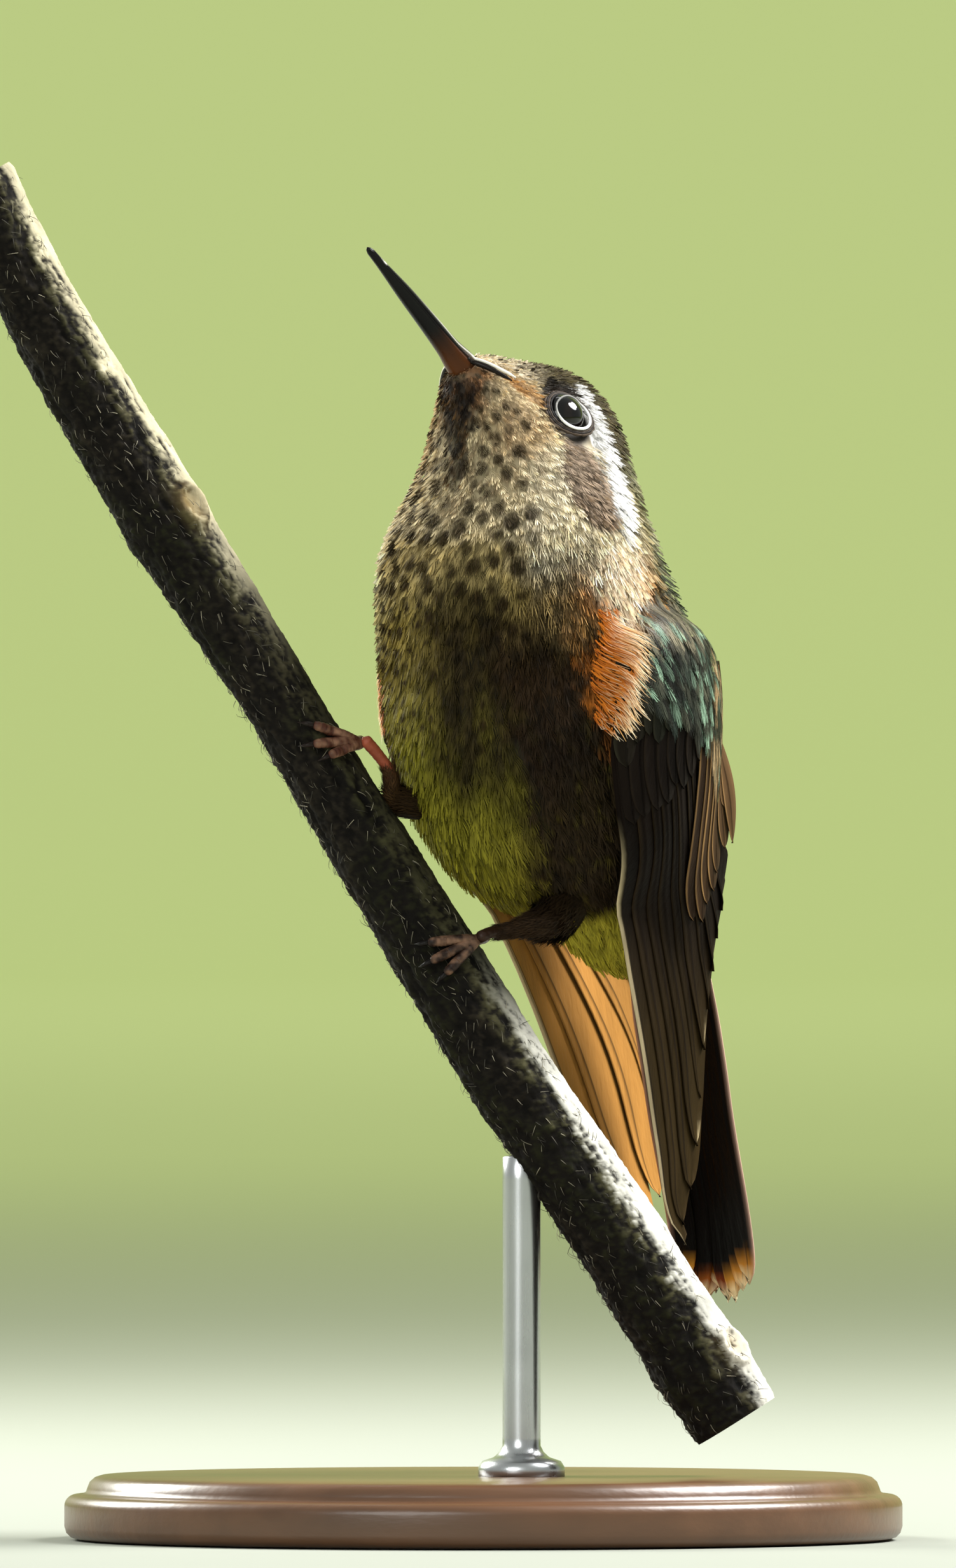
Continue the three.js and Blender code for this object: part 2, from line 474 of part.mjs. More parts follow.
add('foot_left', foot(FOOT_LEFT.s, FOOT_LEFT.a, [[-2.3, 64], [-0.6, 74], [1.2, 66], [0.4, -92]]), 0x3a251d, 0.6);
add('foot_right', foot(FOOT_RIGHT.s, FOOT_RIGHT.a, [[-4.0, 62], [-2.4, 78], [-0.6, 66], [-0.6, -84]]), 0x4a2a1e, 0.6);

// A feathered thigh that narrows to the ankle, then the bare shank to the foot.
function leg(hip, towards, ankle, heel, thighRadius) {
  const dir = new THREE.Vector3().subVectors(towards, hip).normalize();
  const out = hip.clone();              // step outwards until the thigh's end is clear
  while (bodyDistance(out) < GAP + thighRadius * 0.9) out.addScaledVector(dir, 0.05);
  return limb([out, out.clone().lerp(ankle, 0.55), ankle, heel], [thighRadius, thighRadius * 0.72, SHANK_RADIUS + 0.08, SHANK_RADIUS], 9);
}
const lift = GAP + 2.1 * TOE_RADIUS + GAP + 0.15 + SHANK_RADIUS;
add('leg_left', leg(V(8.6, 2.0, 52.0), V(5.2, -4.4, 48.6), V(1.4, -4.9, 47.8), onPerch(FOOT_LEFT.s, FOOT_LEFT.a, lift), THIGH_RADIUS), 0x4a2f1c, 0.8);
add('leg_right', leg(V(-3.2, -1.0, 57.4), V(-6.6, -2.9, 58.2), V(-7.4, -3.7, 60.4), onPerch(FOOT_RIGHT.s, FOOT_RIGHT.a, lift), THIGH_RADIUS * 0.62), 0x9a3d1a, 0.7);

// ----------------------------------------------------------------------- stand
const baseProfile = [
  new THREE.Vector2(0, 0), new THREE.Vector2(BASE_RADIUS - BASE_EDGE, 0), new THREE.Vector2(BASE_RADIUS, BASE_EDGE),
  new THREE.Vector2(BASE_RADIUS, BASE_HEIGHT - BASE_EDGE), new THREE.Vector2(BASE_RADIUS - BASE_EDGE, BASE_HEIGHT), new THREE.Vector2(0, BASE_HEIGHT),
];
function baseDisc() {
  const n = 36, rings = baseProfile.slice(1, -1).map((q) => Array.from({ length: n }, (_, j) => {
    const a = (2 * Math.PI * j) / n;
    return V(BASE_CENTRE[0] + q.x * Math.cos(a), BASE_CENTRE[1] + q.x * Math.sin(a), q.y);
  }));
  return closedLoft(V(BASE_CENTRE[0], BASE_CENTRE[1], 0), rings, V(BASE_CENTRE[0], BASE_CENTRE[1], BASE_HEIGHT));
}
add('stand_base', baseDisc(), 0x4a3524, 0.5);

// The rod's top is cut to lie under the sloping perch.
function rod() {
  const n = 16, y0 = PERCH_TOP[1], low = [], high = [];
  const along = (x) => (x - perchTop.x) / perchDir.x;
  const under = (x, y) => {
    const r = perchRadius(along(x) - 2) + GAP, t = y - y0, sOut = -Math.sqrt(Math.max(0, r * r - t * t));
    return perchTop.z + (sOut + perchBow(along(x)) - (x - perchTop.x) * perchOut.x) / perchOut.z;
  };
  for (let j = 0; j < n; j++) {
    const a = (2 * Math.PI * j) / n, x = ROD_X + ROD_RADIUS * Math.cos(a), y = y0 + ROD_RADIUS * Math.sin(a);
    low.push(V(x, y, BASE_HEIGHT + GAP)); high.push(V(x, y, under(x, y) - 0.15));
  }
  const mid = [0.33, 0.66].map((t) => low.map((p, j) => p.clone().lerp(high[j], t)));
  return closedLoft(V(ROD_X, y0, BASE_HEIGHT + GAP), [low, ...mid, high], V(ROD_X, y0, under(ROD_X, y0) - 0.25));
}
add('stand_rod', rod(), 0xb8bcc0, 0.3, 1);

export default root;
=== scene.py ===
import bpy
import math
import numpy as np
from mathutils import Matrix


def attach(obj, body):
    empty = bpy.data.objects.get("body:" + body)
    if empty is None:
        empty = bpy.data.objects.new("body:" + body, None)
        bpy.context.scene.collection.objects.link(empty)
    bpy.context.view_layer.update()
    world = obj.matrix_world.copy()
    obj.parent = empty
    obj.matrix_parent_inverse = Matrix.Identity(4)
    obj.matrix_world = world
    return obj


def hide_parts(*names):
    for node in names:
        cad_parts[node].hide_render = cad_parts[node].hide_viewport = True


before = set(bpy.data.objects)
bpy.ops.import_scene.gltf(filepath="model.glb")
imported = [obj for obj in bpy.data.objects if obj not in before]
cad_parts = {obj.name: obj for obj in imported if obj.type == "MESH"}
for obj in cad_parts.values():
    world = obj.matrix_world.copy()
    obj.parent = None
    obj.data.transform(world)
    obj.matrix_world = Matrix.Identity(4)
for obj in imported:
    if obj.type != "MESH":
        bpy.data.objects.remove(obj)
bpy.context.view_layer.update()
rng = np.random.default_rng(20240611)

# --------------------------------------------------------------- the bird's form
# The same named masses as the CAD solids, in millimetres.  Everything is worked
# out in millimetres and handed to Blender in metres.
rad = math.radians
HEADING, TRUNK_AXIS = 50.0, np.array([4.0, 0.0, 0.0])
BILL_LENGTH, BILL_BASE = 13.9, np.array([-1.55, -4.9, 92.0])
BILL_HEADING, BILL_PITCH, HEAD_ROLL = 42.0, 44.0, 11.0
BILL_ROOT_WIDTH, BILL_ROOT_DEPTH, BILL_TIP_WIDTH, BILL_TIP_DEPTH = 2.5, 2.5, 0.62, 0.58
EYE_RADIUS, EYE_BACK, EYE_UP, EYE_OUT = 1.85, 7.05, 0.6, 4.74
BLEND = 4.2

FWD = np.array([-math.cos(rad(HEADING)), -math.sin(rad(HEADING)), 0.0])
LEFT = np.array([math.sin(rad(HEADING)), -math.cos(rad(HEADING)), 0.0])
UP = np.array([0.0, 0.0, 1.0])
BILL = np.array([-math.cos(rad(BILL_HEADING)) * math.cos(rad(BILL_PITCH)),
                 -math.sin(rad(BILL_HEADING)) * math.cos(rad(BILL_PITCH)), math.sin(rad(BILL_PITCH))])
_ll = np.array([math.sin(rad(BILL_HEADING)), -math.cos(rad(BILL_HEADING)), 0.0])
_lu = np.cross(BILL, _ll)
HLEFT = _ll * math.cos(rad(HEAD_ROLL)) + _lu * math.sin(rad(HEAD_ROLL))
HUP = _lu * math.cos(rad(HEAD_ROLL)) - _ll * math.sin(rad(HEAD_ROLL))


def bird(f, l, z):
    f, l, z = np.broadcast_arrays(np.asarray(f, float), np.asarray(l, float), np.asarray(z, float))
    return TRUNK_AXIS + f[..., None] * FWD + l[..., None] * LEFT + z[..., None] * UP


def on_head(back, up, left):
    back, up, left = np.broadcast_arrays(np.asarray(back, float), np.asarray(up, float), np.asarray(left, float))
    return BILL_BASE - back[..., None] * BILL + up[..., None] * HUP + left[..., None] * HLEFT


def to_bird(p):
    q = p - TRUNK_AXIS
    return q @ FWD, q @ LEFT, p[..., 2]


def to_head(p):
    q = p - BILL_BASE
    return -(q @ BILL), q @ HUP, q @ HLEFT


def unit(v):
    return v / np.maximum(np.linalg.norm(v, axis=-1, keepdims=True), 1e-12)


def step(a, b, x):
    t = np.clip((np.asarray(x, float) - a) / (b - a), 0, 1)
    return t * t * (3 - 2 * t)


def ease(x, *kv):
    """A value that eases through a few levels: ease(x, x0, v0, x1, v1, ...)."""
    xs, vs = np.array(kv[0::2], float), np.array(kv[1::2], float)
    x = np.clip(np.asarray(x, float), xs[0], xs[-1])
    s = np.diff(vs) / np.diff(xs)
    m = np.zeros(len(xs))
    for j in range(1, len(xs) - 1):
        if s[j - 1] * s[j] > 0:
            m[j] = 2 * s[j - 1] * s[j] / (s[j - 1] + s[j])
    i = np.clip(np.searchsorted(xs, x, side="right") - 1, 0, len(xs) - 2)
    h = (xs[1:] - xs[:-1])[i]
    t = (x - xs[i]) / h
    t2, t3 = t * t, t * t * t
    return ((2 * t3 - 3 * t2 + 1) * vs[i] + (t3 - 2 * t2 + t) * h * m[i]
            + (-2 * t3 + 3 * t2) * vs[i + 1] + (t3 - t2) * h * m[i + 1])


def soft_min(a, b, k):
    h = np.maximum(k - np.abs(a - b), 0) / k
    return np.minimum(a, b) - h * h * k / 4


def soft_max(a, b, k):
    return -soft_min(-a, -b, k)


def trunk_mass(f, l, z, lean, rf, rl, rz):
    up = UP * math.cos(rad(lean)) + FWD * math.sin(rad(lean))
    fw = FWD * math.cos(rad(lean)) - UP * math.sin(rad(lean))
    return bird(f, l, z), np.array([fw, LEFT, up]), np.array([rf, rl, rz], float)


def head_mass(back, up, left, nod, rf, rl, ru):
    f = BILL * math.cos(rad(nod)) - HUP * math.sin(rad(nod))
    u = HUP * math.cos(rad(nod)) + BILL * math.sin(rad(nod))
    return on_head(back, up, left), np.array([f, HLEFT, u]), np.array([rf, rl, ru], float)


MASSES = [
    trunk_mass(-0.3, 0, 67.0, 6, 12.3, 12.4, 14.2),   # breast and back
    trunk_mass(-1.5, 0, 59.5, 14, 10.2, 10.2, 11.0),  # belly
    trunk_mass(-8.2, 0, 56.5, 16, 6.0, 7.6, 10.5),    # rump
    trunk_mass(-9.5, 0, 50.5, 24, 3.6, 4.4, 6.4),     # under-tail coverts
    trunk_mass(-13.0, 0, 52.5, 13, 2.3, 4.2, 7.0),    # upper-tail coverts
    trunk_mass(3.0, 0, 75.6, 14, 9.6, 10.6, 8.8),     # crop
    trunk_mass(-4.6, 0, 66.0, 8, 8.2, 8.8, 11.5),     # mantle
    trunk_mass(1.0, 0, 78.6, 8, 8.6, 9.2, 8.6),       # neck
    head_mass(10.8, 1.35, 0, 8, 7.3, 6.0, 6.9),       # cranium
    head_mass(8.4, -2.6, 0, -6, 6.0, 5.5, 5.0),       # cheeks and throat
    head_mass(3.8, 0.0, 0, 4, 4.5, 2.8, 2.8),         # face, tapering to the bill
]


def body_distance(p):
    """About how far p lies outside the outline of the whole plumage, in mm."""
    p = np.asarray(p, float)
    flat = p.reshape(-1, 3)
    out = np.empty(len(flat))
    for s in range(0, len(flat), 60000):
        q0, d = flat[s:s + 60000], None
        for c, ax, r in MASSES:
            q = ((q0 - c) @ ax.T) / r
            k0 = np.sqrt(np.einsum("ij,ij->i", q, q))
            q = q / r
            k1 = np.sqrt(np.einsum("ij,ij->i", q, q))
            e = np.where(k1 < 1e-9, -r.min(), k0 * (k0 - 1) / np.maximum(k1, 1e-9))
            d = e if d is None else soft_min(d, e, BLEND)
        out[s:s + 60000] = d
    return out.reshape(p.shape[:-1])


def body_gradient(p, e=0.02):
    g = np.empty(p.shape)
    for k in range(3):
        o = np.zeros(3)
        o[k] = e
        g[..., k] = (body_distance(p + o) - body_distance(p - o)) / (2 * e)
    return g


def reach(o, d, out=0.0, rounds=34):
    """From o, inside, along d to where the outline plus out lies."""
    t = np.full(d.shape[:-1], 0.3)
    for _ in range(rounds):
        t = t + np.clip((out - body_distance(o + t[..., None] * d)) * 0.85, -1.5, 3.0)
        t = np.maximum(t, 0.02)
    return t


def settle(p, height, rounds=2):
    """Moves points along the slope to the given height over the outline."""
    for _ in range(rounds):
        g = body_gradient(p)
        n2 = np.maximum((g * g).sum(-1), 0.15)
        p = p + g * ((height - body_distance(p)) / n2)[..., None]
    return p


def catmull(points, n):
    """Centripetal Catmull-Rom through the points, at n places evenly along it."""
    p = np.array(points, float)
    p = np.vstack([2 * p[0] - p[1], p, 2 * p[-1] - p[-2]])
    dense = []
    for i in range(1, len(p) - 2):
        q = p[i - 1:i + 3]
        t = np.concatenate([[0], np.cumsum(np.linalg.norm(np.diff(q, axis=0), axis=1) ** 0.5)])
        x = np.linspace(t[1], t[2], 60, endpoint=(i == len(p) - 3))[:, None]
        a1 = (t[1] - x) / (t[1] - t[0]) * q[0] + (x - t[0]) / (t[1] - t[0]) * q[1]
        a2 = (t[2] - x) / (t[2] - t[1]) * q[1] + (x - t[1]) / (t[2] - t[1]) * q[2]
        a3 = (t[3] - x) / (t[3] - t[2]) * q[2] + (x - t[2]) / (t[3] - t[2]) * q[3]
        b1 = (t[2] - x) / (t[2] - t[0]) * a1 + (x - t[0]) / (t[2] - t[0]) * a2
        b2 = (t[3] - x) / (t[3] - t[1]) * a2 + (x - t[1]) / (t[3] - t[1]) * a3
        dense.append((t[2] - x) / (t[2] - t[1]) * b1 + (x - t[1]) / (t[2] - t[1]) * b2)
    d = np.vstack(dense)
    s = np.concatenate([[0], np.cumsum(np.linalg.norm(np.diff(d, axis=0), axis=1))])
    x = np.linspace(0, s[-1], n)
    return np.stack([np.interp(x, s, d[:, k]) for k in range(3)], 1)


# The body's middle line, from the vent to the face, with frames carried along it.
STEPS = 240
SPINE = catmull([bird(-8.2, 0, 51.5), bird(-4.6, 0, 58), bird(-1.0, 0, 67), bird(0.2, 0, 76),
                 on_head(10.6, -1.8, 0), on_head(6.2, -0.3, 0), on_head(1.2, 0, 0)], STEPS + 1)
_raw = unit(np.gradient(SPINE, axis=0))
TAN = np.zeros_like(_raw)
for _k in range(-36, 37):
    TAN += _raw[np.clip(np.arange(STEPS + 1) + _k, 0, STEPS)] * (1 - abs(_k) / 37)
TAN = unit(TAN)
SLEFT = np.zeros_like(TAN)
_l = LEFT.copy()
for _i in range(STEPS + 1):
    _l = _l - TAN[_i] * (_l @ TAN[_i])
    _l = _l / np.linalg.norm(_l)
    SLEFT[_i] = _l
SFRONT = unit(np.cross(SLEFT, TAN))
FACE_TURN = 0.87


def stations(count_vent, count_body, count_face):
    """Where the rings of rays start, and how far each turns towards an end."""
    a = np.concatenate([-90 * (1 - np.arange(count_vent) / count_vent), np.zeros(count_body),
                        90 * (np.arange(count_face) + 1) / count_face])
    t = np.concatenate([np.zeros(count_vent), np.linspace(0, FACE_TURN, count_body), np.full(count_face, FACE_TURN)])
    return t, a


def rays(t, a, sides):
    x = np.clip(t, 0, 1) * STEPS
    i = np.minimum(STEPS - 1, x.astype(int))
    k = (x - i)[:, None]
    mix = lambda v: v[i] * (1 - k) + v[i + 1] * k
    o, tan, left, front = mix(SPINE), unit(mix(TAN)), unit(mix(SLEFT)), unit(mix(SFRONT))
    th = 2 * np.pi * np.arange(sides) / sides
    al = np.radians(a)[:, None, None]
    around = front[:, None, :] * np.cos(th)[None, :, None] + left[:, None, :] * np.sin(th)[None, :, None]
    d = around * np.cos(al) + tan[:, None, :] * np.sin(al)
    return np.broadcast_to(o[:, None, :], d.shape), d


GRID_SIDES = 224
GRID_T, GRID_A = stations(34, 210, 56)
GRID_O, GRID_D = rays(GRID_T, GRID_A, GRID_SIDES)
OUTER = GRID_O + reach(GRID_O, GRID_D)[..., None] * GRID_D      # outline, ring by ring


# ------------------------------------------------------------------ mesh making
def rgb(r, g, b):
    """Linear colour from the usual 0-255 values."""
    c = np.array([r, g, b], float) / 255
    return np.where(c <= 0.04045, c / 12.92, ((c + 0.055) / 1.055) ** 2.4)


def mix(a, b, t):
    t = np.asarray(t, float)
    return a * (1 - t[..., None]) + b * t[..., None]


def mesh_of(name, verts, quads, colours, material, uv=None, replaces=(), smooth=True, loop_uv=None, stage=False):
    """One object from arrays: places in mm, four-cornered faces (a repeated last
    corner makes a triangle), a colour at each point and its OFBake place."""
    v = np.ascontiguousarray(np.asarray(verts, float).reshape(-1, 3) * 0.001, dtype=np.float32)
    q = np.asarray(quads, np.int64).reshape(-1, 4)
    tri = q[:, 2] == q[:, 3]
    total = np.where(tri, 3, 4)
    keep = np.ones(q.shape, bool)
    keep[tri, 3] = False
    loops = q[keep]
    start = np.concatenate([[0], np.cumsum(total)[:-1]])
    me = bpy.data.meshes.new(name)
    me.vertices.add(len(v))
    me.vertices.foreach_set("co", v.ravel())
    me.loops.add(len(loops))
    me.loops.foreach_set("vertex_index", loops.astype(np.int32))
    me.polygons.add(len(q))
    me.polygons.foreach_set("loop_start", start.astype(np.int32))
    me.polygons.foreach_set("loop_total", total.astype(np.int32))
    me.polygons.foreach_set("use_smooth", np.full(len(q), bool(smooth)))
    me.update(calc_edges=True)
    col = me.color_attributes.new("Col", "FLOAT_COLOR", "POINT")
    c = np.ones((len(v), 4), np.float32)
    c[:, :3] = np.clip(np.broadcast_to(colours, (len(v), 3)), 0, 1)
    col.data.foreach_set("color", c.ravel())
    if uv is not None or loop_uv is not None:
        layer = me.uv_layers.new(name="OFBake")
        l = loop_uv[keep] if loop_uv is not None else np.asarray(uv)[loops]
        layer.data.foreach_set("uv", np.ascontiguousarray(l, dtype=np.float32).ravel())
    me.validate()
    ob = bpy.data.objects.new(name, me)
    bpy.context.scene.collection.objects.link(ob)
    ob.data.materials.append(material)
    if stage:
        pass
    else:
        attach(ob, "root")
        if replaces:
            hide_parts(*replaces)
    return ob


class Heap:
    """Gathers many small pieces into one mesh."""

    def __init__(self):
        self.v, self.q, self.c, self.u, self.n = [], [], [], [], 0

    def add(self, verts, quads, colours, uv=None):
        verts = np.asarray(verts, float).reshape(-1, 3)
        self.v.append(verts)
        self.q.append(np.asarray(quads, np.int64).reshape(-1, 4) + self.n)
        self.c.append(np.broadcast_to(np.asarray(colours, float).reshape(-1, 3) if np.ndim(colours) > 1 else np.asarray(colours, float), (len(verts), 3)))
        self.u.append(np.zeros((len(verts), 2)) if uv is None else np.asarray(uv, float).reshape(-1, 2))
        self.n += len(verts)

    def build(self, name, material, replaces=(), smooth=True):
        return mesh_of(name, np.concatenate(self.v), np.concatenate(self.q), np.concatenate(self.c), material,
                       uv=np.concatenate(self.u), replaces=replaces, smooth=smooth)


def grid_quads(n, m, closed=False, flip=False):
    """Faces of an n by m grid of points; closed joins the last column to the first."""
    i, j = np.meshgrid(np.arange(n - 1), np.arange(m if closed else m - 1), indexing="ij")
    a, b = i * m + j, i * m + (j + 1) % m
    q = np.stack([a, b, b + m, a + m], -1).reshape(-1, 4)
    return q[:, ::-1] if flip else q


def tube(points, radii, sides=10, squash=None, up=None):
    """A closed round tube: its points and faces."""
    p = np.asarray(points, float)
    n = len(p)
    r = np.broadcast_to(np.asarray(radii, float), (n,))
    t = unit(np.gradient(p, axis=0))
    ref = np.array([0.0, 0.0, 1.0]) if up is None else np.asarray(up, float)
    left = np.zeros_like(t)
    l = ref
    for i in range(n):
        l = l - t[i] * (l @ t[i])
        if np.linalg.norm(l) < 1e-6:
            l = np.cross(t[i], [1.0, 0.3, 0.2])
        l = l / np.linalg.norm(l)
        left[i] = l
    other = np.cross(t, left)
    a = 2 * np.pi * np.arange(sides) / sides
    k = 1.0 if squash is None else squash
    ring = p[:, None, :] + r[:, None, None] * (left[:, None, :] * np.cos(a)[None, :, None] + k * other[:, None, :] * np.sin(a)[None, :, None])
    v = np.concatenate([ring.reshape(-1, 3), [p[0] - t[0] * r[0] * 0.4, p[-1] + t[-1] * r[-1] * 0.8]])
    q = grid_quads(n, sides, closed=True)
    j = np.arange(sides)
    c0 = np.stack([np.full(sides, n * sides), (j + 1) % sides, j, j], -1)
    base = (n - 1) * sides
    c1 = np.stack([np.full(sides, n * sides + 1), base + j, base + (j + 1) % sides, base + (j + 1) % sides], -1)
    return v, np.concatenate([q, c0, c1])


_NOISE = np.random.default_rng(7).random((64, 64, 64))


def noise(p, scale=1.0, octaves=3):
    """Smooth repeating value noise, 0 to 1, at places p / scale."""
    p = np.asarray(p, float) / scale
    total, amp, out = 0.0, 1.0, 0.0
    for _ in range(octaves):
        f = np.floor(p).astype(int)
        t = p - f
        t = t * t * (3 - 2 * t)
        s = 0.0
        for dx in (0, 1):
            for dy in (0, 1):
                for dz in (0, 1):
                    w = (t[..., 0] if dx else 1 - t[..., 0]) * (t[..., 1] if dy else 1 - t[..., 1]) * (t[..., 2] if dz else 1 - t[..., 2])
                    s = s + w * _NOISE[(f[..., 0] + dx) % 64, (f[..., 1] + dy) % 64, (f[..., 2] + dz) % 64]
        out = out + amp * s
        total += amp
        amp *= 0.5
        p = p * 2.03 + 17.3
    return out / total


# -------------------------------------------------------------------- materials
def material(name, roughness, bump=0.0, bump_scale=900.0, stretch=(1, 1, 1), mottle=0.12, mottle_scale=300.0, **sockets):
    """Colour from the mesh's own colours, broken up by noise, with a noise bump."""
    m = bpy.data.materials.new(name)
    m.use_nodes = True
    nt = m.node_tree
    n, l = nt.nodes, nt.links
    p = n["Principled BSDF"]
    at = n.new("ShaderNodeAttribute")
    at.attribute_name = "Col"
    tc = n.new("ShaderNodeTexCoord")
    mp = n.new("ShaderNodeMapping")
    mp.inputs["Scale"].default_value = stretch
    l.new(tc.outputs["Object"], mp.inputs["Vector"])
    nz = n.new("ShaderNodeTexNoise")
    nz.inputs["Scale"].default_value = mottle_scale
    nz.inputs["Detail"].default_value = 4
    l.new(mp.outputs["Vector"], nz.inputs["Vector"])
    rp = n.new("ShaderNodeMapRange")
    rp.inputs["From Min"].default_value, rp.inputs["From Max"].default_value = 0.25, 0.75
    rp.inputs["To Min"].default_value, rp.inputs["To Max"].default_value = 1 - mottle, 1 + mottle
    l.new(nz.outputs["Fac"], rp.inputs["Value"])
    mx = n.new("ShaderNodeVectorMath")
    mx.operation = "SCALE"
    l.new(at.outputs["Color"], mx.inputs[0])
    l.new(rp.outputs["Result"], mx.inputs["Scale"])
    l.new(mx.outputs["Vector"], p.inputs["Base Color"])
    rr = n.new("ShaderNodeMapRange")
    rr.inputs["To Min"].default_value, rr.inputs["To Max"].default_value = max(0.02, roughness - 0.06), min(1, roughness + 0.06)
    l.new(nz.outputs["Fac"], rr.inputs["Value"])
    l.new(rr.outputs["Result"], p.inputs["Roughness"])
    if bump:
        nb = n.new("ShaderNodeTexNoise")
        nb.inputs["Scale"].default_value = bump_scale
        nb.inputs["Detail"].default_value = 3
        l.new(mp.outputs["Vector"], nb.inputs["Vector"])
        b = n.new("ShaderNodeBump")
        b.inputs["Strength"].default_value = bump
        b.inputs["Distance"].default_value = 0.0002
        l.new(nb.outputs["Fac"], b.inputs["Height"])
        l.new(b.outputs["Normal"], p.inputs["Normal"])
    for k, v in sockets.items():
        p.inputs[k.replace("_", " ")].default_value = v
    return m


MAT_SKIN = material("plumage_under", 0.85, bump=0.4, bump_scale=1500)
MAT_HEAD = material("plumage_head", 0.75, mottle=0.12, mottle_scale=900, Specular_IOR_Level=0.15)
MAT_BODY = material("plumage_body", 0.75, mottle=0.14, mottle_scale=700, Specular_IOR_Level=0.15)
MAT_GREEN = material("plumage_gloss", 0.50, mottle=0.3, mottle_scale=900, Metallic=0.12, Specular_IOR_Level=0.25)
MAT_FLIGHT = material("flight_feathers", 0.62, bump=0.5, bump_scale=2200, stretch=(1, 1, 0.25), mottle=0.3, mottle_scale=420, Specular_IOR_Level=0.03)
MAT_FLIGHT_LIT = material("flight_feathers_lit", 0.50, bump=0.5, bump_scale=2200, stretch=(1, 1, 0.25), mottle=0.14, mottle_scale=420, Specular_IOR_Level=0.1)
MAT_TAIL = material("tail_feathers", 0.48, bump=0.5, bump_scale=2200, stretch=(1, 1, 0.25), mottle=0.16, mottle_scale=420, Specular_IOR_Level=0.05)
MAT_BILL = material("bill_horn", 0.26, bump=0.10, bump_scale=700, stretch=(1, 1, 0.4), mottle=0.12, mottle_scale=350, Specular_IOR_Level=0.16)
MAT_EYE = material("eye", 0.08, mottle=0.05, Coat_Weight=0.8, Coat_Roughness=0.02, Specular_IOR_Level=0.08)
MAT_LID = material("eyelid", 0.6, bump=0.35, bump_scale=2600, mottle=0.15, mottle_scale=900, Specular_IOR_Level=0.12)
MAT_FOOT = material("foot_skin", 0.42, bump=0.45, bump_scale=2400, mottle=0.2, mottle_scale=900, Specular_IOR_Level=0.18)
MAT_BARK = material("bark", 0.85, bump=1.0, bump_scale=900, stretch=(1, 1, 0.6), mottle=0.4, mottle_scale=500, Specular_IOR_Level=0.12)
MAT_BRISTLE = material("bark_bristle", 0.6, mottle=0.1)
MAT_WOOD = material("stand_wood", 0.35, bump=0.15, bump_scale=300, stretch=(1, 6, 6), mottle=0.2, mottle_scale=60, Coat_Weight=0.25, Coat_Roughness=0.2)
MAT_STEEL = material("stand_steel", 0.28, bump=0.05, bump_scale=1200, stretch=(1, 1, 0.05), mottle=0.04, mottle_scale=900, Metallic=1.0)


# --------------------------------------------------------------------- markings
# Named places on the head, (back, up, out to the side) from the bill's root, and
# the same on both sides.
EYE = np.array([EYE_BACK, EYE_UP, EYE_OUT])
STRIPE = np.array([(7.7, 4.75, 4.5), (9.15, 2.72, 6.14), (10.76, 1.13, 7.1), (12.38, -1.05, 8.16), (13.67, -4.02, 9.48), (15.1, -6.2, 10.1)])
STRIPE_HALF = [0.75, 1.1, 1.25, 1.35, 1.35, 0.5]
EAR = np.array([(8.3, -2.0, 6.9), (9.6, -3.4, 7.7), (10.9, -4.8, 8.5), (11.6, -5.8, 9.1)])
EAR_HALF = [1.45, 2.2, 2.5, 1.9]
LORE = np.array([(1.9, 0.1, 3.0), (3.4, 0.1, 4.4), (4.5, -0.1, 5.1)])
LORE_HALF = [0.45, 0.75, 0.55]
BROW = np.array([(4.7, 1.3, 4.8), (5.2, 2.7, 4.4), (6.2, 3.2, 4.7), (7.4, 3.2, 5.2)])
BROW_HALF = [0.6, 0.9, 0.95, 0.6]
CHIN = np.array([(0.4, -1.9, 0.3), (1.4, -3.9, 0.2), (4.5, -8.2, 0)])
CHIN_HALF = [1.75, 1.3, 0.75]


def along_line(h, line, half):
    """Distance from places h to a line through named places, over its half width."""
    best = np.full(h.shape[:-1], 1e9)
    for k in range(len(line) - 1):
        a, b = line[k], line[k + 1]
        t = np.clip(((h - a) @ (b - a)) / ((b - a) @ (b - a)), 0, 1)
        d = np.linalg.norm(h - (a + t[..., None] * (b - a)), axis=-1) / (half[k] * (1 - t) + half[k + 1] * t)
        best = np.minimum(best, d)
    return best


C_CREAM, C_THROAT, C_NECK = rgb(232, 214, 176), rgb(184, 164, 112), rgb(228, 216, 188)
C_BUFF, C_PALE = rgb(222, 156, 92), rgb(255, 236, 210)
C_BREAST, C_BELLY, C_FLANK = rgb(128, 112, 56), rgb(126, 120, 32), rgb(32, 20, 9)
C_OLIVE, C_RUFOUS = rgb(132, 122, 30), rgb(178, 104, 36)
C_EAR, C_STRIPE, C_CROWN = rgb(146, 125, 106), rgb(255, 253, 250), rgb(86, 76, 50)
C_LORE, C_DARK, C_SPOT = rgb(188, 142, 86), rgb(24, 17, 12), rgb(44, 32, 14)
C_NAPE, C_BACK, C_TEAL = rgb(132, 128, 100), rgb(50, 56, 26), rgb(50, 66, 52)
C_FOREHEAD = rgb(234, 218, 188)
GRID_N = len(GRID_T)


